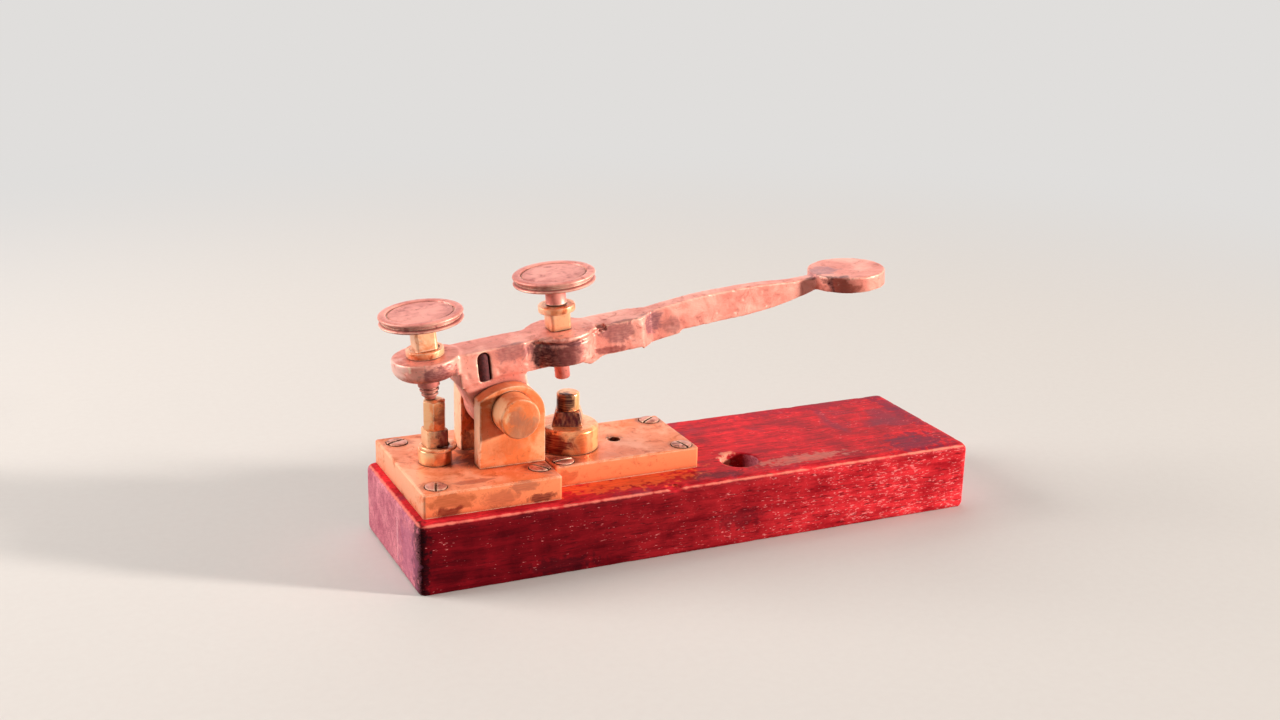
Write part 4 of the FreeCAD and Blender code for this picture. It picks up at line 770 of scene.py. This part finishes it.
def near_boss(spot):
    """True near either screw boss, where the casting is roundest."""
    own = INTO_LEVER @ spot
    return own.z > BAR_FOOT * MM and any(
        math.hypot(own.x / MM - along, own.y / MM) < BOSS_REACH for along in (REAR, FRONT))


lever = remeshed(cleaned_copy("lever"), 0.3)
smooth_mesh(lever, 5)
smooth_mesh(lever, 4, near_boss)
outward = [vert.normal.copy() for vert in lever.vertices]
for vert, normal in zip(lever.vertices, outward):
    own = (INTO_LEVER @ vert.co) / MM
    if math.hypot(own.x, own.z) < HUB_RADIUS or own.z < BAR_FOOT:
        continue
    wave = noise.fractal(own * 0.13, 1.0, 2.0, 3)
    fine = noise.noise(own * 0.9)
    pit = max(0.0, noise.noise(own * 0.45 + Vector((7, 3, 1))) - 0.45)
    press = 0.10 * (wave - 0.4) + 0.02 * fine - 0.5 * pit
    if 23.0 < own.x < 44.0 and own.y < -4.5:
        press -= 0.16 * abs(noise.noise(Vector((own.x * 0.35, 0, own.z * 0.12))))
    if abs(own.x - NICK_AT) < NICK_HALF and own.y < -3.2 and own.z > 16.0:
        press -= 1.1 * max(0.0, 1.0 - (abs(own.x - NICK_AT) / NICK_HALF) ** 4)
    vert.co += normal * min(press, 0.02) * MM
for vert in lever.vertices:
    own = (INTO_LEVER @ vert.co) / MM
    aside = Vector((own.x - REAR, own.y))
    if aside.x < 6.5 and 6.0 < aside.length < 11.0:
        allowed = 99.0
        for (low, small), (high, large) in zip(BOSS_ROUND, BOSS_ROUND[1:]):
            if low <= own.z <= high:
                allowed = small + (large - small) * (own.z - low) / (high - low)
        if own.z < BOSS_ROUND[0][0]:
            allowed = BOSS_FOOT
        if aside.length > allowed and not (aside.x > 0 and abs(own.y) < 5.4):
            shift = aside.normalized() * allowed - aside
            own.x += shift.x
            own.y += shift.y
    aside = Vector((own.x - FRONT, own.y))
    if 8.5 < aside.length < 11.0 and own.y < -3.0 and abs(own.z - LIP_AT) < LIP_HALF:
        groove = 0.5 * (1.0 - abs(own.z - LIP_AT) / LIP_HALF)
        outwards = aside.normalized()
        own.x -= outwards.x * groove
        own.y -= outwards.y * groove
    vert.co = LEVER @ (own * MM)
for vert in lever.vertices:
    own = INTO_LEVER @ vert.co
    spot = own / MM
    for along in (REAR, FRONT):
        aside = Vector((spot.x - along, spot.y))
        if 0.5 < aside.length < SCREW_BORE + 0.25:
            aside = aside.normalized() * SCREW_BORE
            own = Vector((along + aside.x, aside.y, spot.z)) * MM
    if abs(spot.y) < 5.6:
        out = Vector((spot.x, spot.z))
        if 3.0 < out.length < 6.3:
            out = out.normalized() * AXLE_BORE
            own = Vector((out.x, spot.y, out.y)) * MM
    vert.co = LEVER @ own
shade_smooth(lever)
finish_mesh("lever_casting", lever, "lever_arm", "lever", cast_brass)
finish_mesh("hub_key_rusted", softened_mesh("hub_key", 0.15), "lever_arm",
            "hub_key", rusted_iron)
print("lever cells:", len(lever.polygons))

# %% [markdown]
# A thumbscrew's head is turned as two beads with a groove between them, so that finger and
# thumb can grip it, and its top is dished. The rear screw ends in a ringed ferrule that rests on
# the back stop; the front one ends in a plain dome, which is the contact itself.

# %% Thumbscrews
THREAD = 2.2
HEAD_HIGH = 3.1
THUMB_HEAD = [(9.8, 0.0), (11.3, 0.05), (11.72, 0.25), (11.86, 0.55), (11.7, 0.85), (11.2, 1.0),
              (10.9, 1.2), (10.9, 1.85), (11.2, 2.02), (11.72, 2.15), (11.88, 2.45),
              (11.8, 2.75), (11.45, 3.0), (10.8, HEAD_HIGH), (9.9, 3.08), (9.65, 2.95),
              (9.45, 2.45), (9.2, 2.45), (9.0, 2.75), (8.7, 2.8), (4.0, 2.76), (0.0, 2.76)]
NOSE = [(0.0, 0.0), (1.5, 0.2), (1.9, 1.1), (2.4, 1.4), (2.4, 1.9), (1.95, 2.1), (1.95, 2.4),
        (2.75, 2.7), (2.75, 3.2), (2.3, 3.4), (2.3, 3.7), (3.1, 4.1)]


def raised(profile, height):
    """The profile moved up by a height."""
    return [(radius, height + rise) for radius, rise in profile]


def rounded(profile, radius):
    """The profile with each inner corner replaced by a small arc of points."""
    result = [profile[0]]
    for before, here, after in zip(profile, profile[1:], profile[2:]):
        here_point = Vector(here)
        back = Vector(before) - here_point
        ahead = Vector(after) - here_point
        reach = min(radius, back.length * 0.45, ahead.length * 0.45)
        start = here_point + back.normalized() * reach
        stop = here_point + ahead.normalized() * reach
        for step in range(4):
            share = step / 3
            bend = start.lerp(here_point, share).lerp(here_point.lerp(stop, share), share)
            result.append((bend.x, bend.y))
    result.append(profile[-1])
    return result


def lever_place(along):
    """The lever's own frame, moved along it to a screw's axis."""
    return LEVER @ Matrix.Translation(Vector((along * MM, 0, 0)))


def own_height(node):
    """Lowest and highest point of a node along the lever's upright, in millimetres."""
    heights = [(INTO_LEVER @ vert.co).z / MM for vert in frame["nodes"][node].data.vertices]
    return min(heights), max(heights)


for end, along in (("rear", REAR), ("front", FRONT)):
    node = end + "_thumbscrew"
    low, high = own_height(node)
    nut_top = own_height(end + "_lock_nut")[1]
    foot = [(0.0, low), (THREAD, low)] if end == "rear" else [
        (0.0, low), (1.2, low + 0.15), (1.9, low + 0.45), (THREAD, low + 0.8)]
    under = high - HEAD_HIGH
    shank = [(THREAD, nut_top + 0.2), (2.9, nut_top + 0.22), (3.1, nut_top + 0.5),
             (2.95, nut_top + 0.9), (2.95, under - 0.5), (3.3, under - 0.1)]
    mesh = turned_mesh(node, foot + shank + raised(THUMB_HEAD, under), lever_place(along), 128)
    shade_smooth(mesh, 50)
    finish_mesh(node + "_turned", mesh, end + "_screw", node, thumb_brass)
    print(node, "from", round(low, 2), "to", round(high, 2), "mm above the axis")

nose_low, nose_high = own_height("rear_screw_ferrule")
socket_floor = nose_low + 4.3
nose = rounded(raised(NOSE, nose_low) + [(3.1, nose_high), (2.25, nose_high),
                                         (2.25, socket_floor), (0.0, socket_floor)], 0.12)
finish_mesh("rear_ferrule_ringed", turned_mesh("ferrule", nose, lever_place(REAR), 64),
            "rear_screw", "rear_screw_ferrule", thumb_brass)

# %% [markdown]
# The lock nuts jam the thumbscrews where they are set. Each is a square nut with a round flange
# turned on one end, which looks like a bead from the side. The square is softened from the frame
# and the bead is a separate lathe form that swallows the frame's plain flange.

# %% Lock nuts
BEAD_HIGH, BEAD_RADIUS = 2.0, 5.35


def bead(low):
    """Half profile of a round bead from a height up, with a hole through it."""
    high = low + BEAD_HIGH
    half = (high - low) / 2
    inner = BEAD_RADIUS - 1.6
    points = [(SCREW_BORE, low + 0.02), (inner, low)]
    for step in range(9):
        angle = -math.pi / 2 + math.pi * step / 8
        points.append((BEAD_RADIUS - half + half * math.cos(angle),
                       low + half + half * math.sin(angle)))
    return points + [(inner, high), (SCREW_BORE, high - 0.02), (SCREW_BORE, low + 0.02)]


for end, along in (("rear", REAR), ("front", FRONT)):
    node = end + "_lock_nut"
    low, high = own_height(node)
    start = low if end == "rear" else high - BEAD_HIGH
    flange = turned_mesh("flange", bead(start), lever_place(along), 72)
    mesh = joined(node, [softened_mesh(node, 0.3), flange])
    mesh.set_sharp_from_angle(angle=math.radians(40))
    finish_mesh(node + "_filed", mesh, end + "_nut", node, nut_brass)
print("lock nuts dressed")

# %% [markdown]
# The back stop and the anvil are stacks: a collar, a nut and a stud whose head takes the blow.
# They are turned or filed and need no more than soft edges.

# %% Back stop and anvil
for node, width, slot, material in (
        ("back_stop_collar", 0.3, "post_brass", post_brass),
        ("back_stop_washer", 0.2, "nut_brass", nut_brass),
        ("back_stop_nut", 0.3, "nut_brass", nut_brass),
        ("back_stop_stud", 0.3, "post_brass", post_brass),
        ("anvil_collar", 0.3, "post_brass", post_brass),
        ("anvil_nut", 0.25, "nut_brass", nut_brass),
        ("anvil_stud", 0.3, "post_brass", post_brass)):
    finish_mesh(node + "_worn", softened_mesh(node, width), "base", node, material)
finish_mesh("ear_screws_iron", softened_mesh("ear_screws", 0.15), "base",
            "ear_screws", rusted_iron)

# %% [markdown]
# The return spring is hidden between the ears, but it shows from the right-hand side. It is a
# close wire coil, swept round a helix, with a mesh of its own. On the real key it shortens as
# the lever comes down; here the coil is built at one length.

# %% Return spring
STEPS_PER_TURN, WIRE_SIDES = 28, 10


def coil_mesh(foot, high, radius, wire, turns):
    """A tube swept along a helix, from its foot up to a height; all sizes in metres."""
    steps = STEPS_PER_TURN * turns
    form = bmesh.new()
    rings = []
    climb = (high - foot.z - 2 * wire) / steps
    for step in range(steps + 1):
        turn = 2 * math.pi * step / STEPS_PER_TURN
        out = Vector((math.cos(turn), math.sin(turn), 0))
        centre = Vector((foot.x, foot.y, foot.z + wire + climb * step)) + out * radius
        ring = []
        for side in range(WIRE_SIDES):
            angle = 2 * math.pi * side / WIRE_SIDES
            ring.append(form.verts.new(centre + out * wire * math.cos(angle)
                                       + Vector((0, 0, wire * math.sin(angle)))))
        rings.append(ring)
    for lower, upper in zip(rings, rings[1:]):
        for side in range(WIRE_SIDES):
            after = (side + 1) % WIRE_SIDES
            face = form.faces.new((lower[side], upper[side], upper[after], lower[after]))
            face.smooth = True
    form.faces.new(rings[0])
    form.faces.new(list(reversed(rings[-1])))
    bmesh.ops.recalc_face_normals(form, faces=form.faces)
    mesh = bpy.data.meshes.new("coil")
    form.to_mesh(mesh)
    form.free()
    return mesh


spring_low, spring_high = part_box("return_spring")
spring_foot = (spring_low + spring_high) / 2
spring_foot.z = spring_low.z
spring = finish_mesh("return_spring_coiled",
                     coil_mesh(spring_foot, spring_high.z, 2.1 * MM, 0.3 * MM, 6),
                     "base", "return_spring", spring_steel)
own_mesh(spring)
print("spring", round((spring_high.z - spring_low.z) / MM, 2), "mm tall")

# %% [markdown]
# The key stands on a large pale table. The main lamp is small and stands far off to the right
# and in front, so it shapes the metal and throws the axle's shadow across the ear. A broader
# one from the left and behind fills the shadows, and two weak ones soften the back and the top.
# The camera, and whatever shines, sees a pale table that runs into a sky of the same colour.
# For all other rays both are dim, so nearly all the light on the key comes from the lamps.

# %% Table and light
def seen_rays(tree):
    """One for rays from the camera, off a shiny face or through glass, zero for the others."""
    rays = add(tree, "LightPath").outputs
    seen = rays["Is Camera Ray"]
    for kind in ("Is Glossy Ray", "Is Transmission Ray"):
        seen = add(tree, "Math", {0: seen, 1: rays[kind]}, operation="MAXIMUM")
    return seen


HORIZON = linear("#e0dedc")
NEAR_END, FAR_START = 0.22, 0.62  # metres between which the paper runs into the sky
HALF_TABLE = 6
floor_material, tree = new_material("Pale_paper_table")
here = add(tree, "TexCoord").outputs["Object"]
seen = seen_rays(tree)
fibres = add(tree, "TexNoise", {"Vector": here, "Scale": 400.0, "Detail": 3.0})
paper = add(tree, "Mix", {MIX_FACTOR: fibres, MIX_FIRST: linear("#dcd9d6"),
                          MIX_SECOND: linear("#e0dedb")}, data_type="RGBA").outputs[MIX_RESULT]
shown = add(tree, "Mix", {MIX_FACTOR: seen, MIX_FIRST: linear("#524e4a"), MIX_SECOND: paper},
            data_type="RGBA").outputs[MIX_RESULT]
near = add(tree, "BsdfPrincipled", {"Base Color": shown, "Roughness": 0.85,
                                    "Specular IOR Level": 0.1})
away = add(tree, "VectorMath", {0: here}, operation="LENGTH").outputs[1]
away = add(tree, "MapRange", {0: away, 1: NEAR_END, 2: FAR_START}, interpolation_type="SMOOTHSTEP")
away = add(tree, "Math", {0: away, 1: seen}, operation="MULTIPLY")
far = add(tree, "Emission", {"Color": HORIZON})
surface = add(tree, "MixShader", {0: away, 1: near, 2: far})
add(tree, "OutputMaterial", {0: surface})
floor_mesh = bpy.data.meshes.new("table")
corners = [(-HALF_TABLE, -HALF_TABLE, 0), (HALF_TABLE, -HALF_TABLE, 0),
           (HALF_TABLE, HALF_TABLE, 0), (-HALF_TABLE, HALF_TABLE, 0)]
floor_mesh.from_pydata(corners, [], [(0, 1, 2, 3)])
floor_mesh.materials.append(floor_material)
table_top = bpy.data.objects.new("table_top", floor_mesh)
bpy.context.scene.collection.objects.link(table_top)

world = bpy.data.worlds.new("Studio")
bpy.context.scene.world = world
world.use_nodes = True
tree = world.node_tree
tree.nodes.clear()
dim = add(tree, "Background", {"Color": linear("#f4f2f0"), "Strength": 0.11})
pale = add(tree, "Background", {"Color": HORIZON, "Strength": 1.0})
sky = add(tree, "MixShader", {0: seen_rays(tree), 1: dim, 2: pale})
add(tree, "OutputWorld", {0: sky})


def lamp(name, spot, target, size, power, colour):
    """A square soft lamp at a spot, aimed at a target; sizes in metres, power in watts."""
    light = bpy.data.lights.new(name, "AREA")
    light.size = size
    light.energy = power
    light.color = linear(colour)[:3]
    holder = bpy.data.objects.new(name, light)
    holder.location = spot
    holder.rotation_euler = (Vector(target) - Vector(spot)).to_track_quat("-Z", "Y").to_euler()
    bpy.context.scene.collection.objects.link(holder)


works = (-0.03, 0.0, 0.035)
lamp("key_lamp", (1.55, -1.05, 0.40), works, 0.20, 64.0, "#fff4ea")
lamp("fill_lamp", (-1.12, 0.47, 0.54), works, 0.72, 18.0, "#fff6f0")
lamp("back_lamp", (0.37, 0.85, 0.45), works, 0.90, 1.9, "#fffaf6")
lamp("top_lamp", (-0.10, 0.15, 0.80), works, 0.60, 1.7, "#fffaf6")
print("lamps:", [item.name for item in bpy.data.lights])

# %% [markdown]
# The camera stands low, to the left and in front, about half a metre off, with a 47 mm lens.
# Its turn is built from the direction it looks in and a small roll, since the picture leans by
# a degree.

# %% Camera
yaw, pitch, roll = math.radians(24.92), math.radians(17.67), math.radians(1.39)
ahead = Vector((math.sin(yaw) * math.cos(pitch), math.cos(yaw) * math.cos(pitch),
                -math.sin(pitch)))
level = Vector((math.cos(yaw), -math.sin(yaw), 0))
upward = level.cross(ahead)
right = math.cos(roll) * level + math.sin(roll) * upward
above = math.cos(roll) * upward - math.sin(roll) * level
lens = bpy.data.cameras.new("camera")
lens.lens = 47.2
lens.sensor_width = 36.0
camera = bpy.data.objects.new("camera", lens)
stand = (-0.2111, -0.4274, 0.2019)
camera.matrix_world = Matrix.Translation(stand) @ Matrix(
    (right, above, -ahead)).transposed().to_4x4()
bpy.context.scene.collection.objects.link(camera)
bpy.context.scene.camera = camera
bpy.context.scene.view_settings.view_transform = "Standard"
print("camera aims", tuple(round(value, 3) for value in ahead))
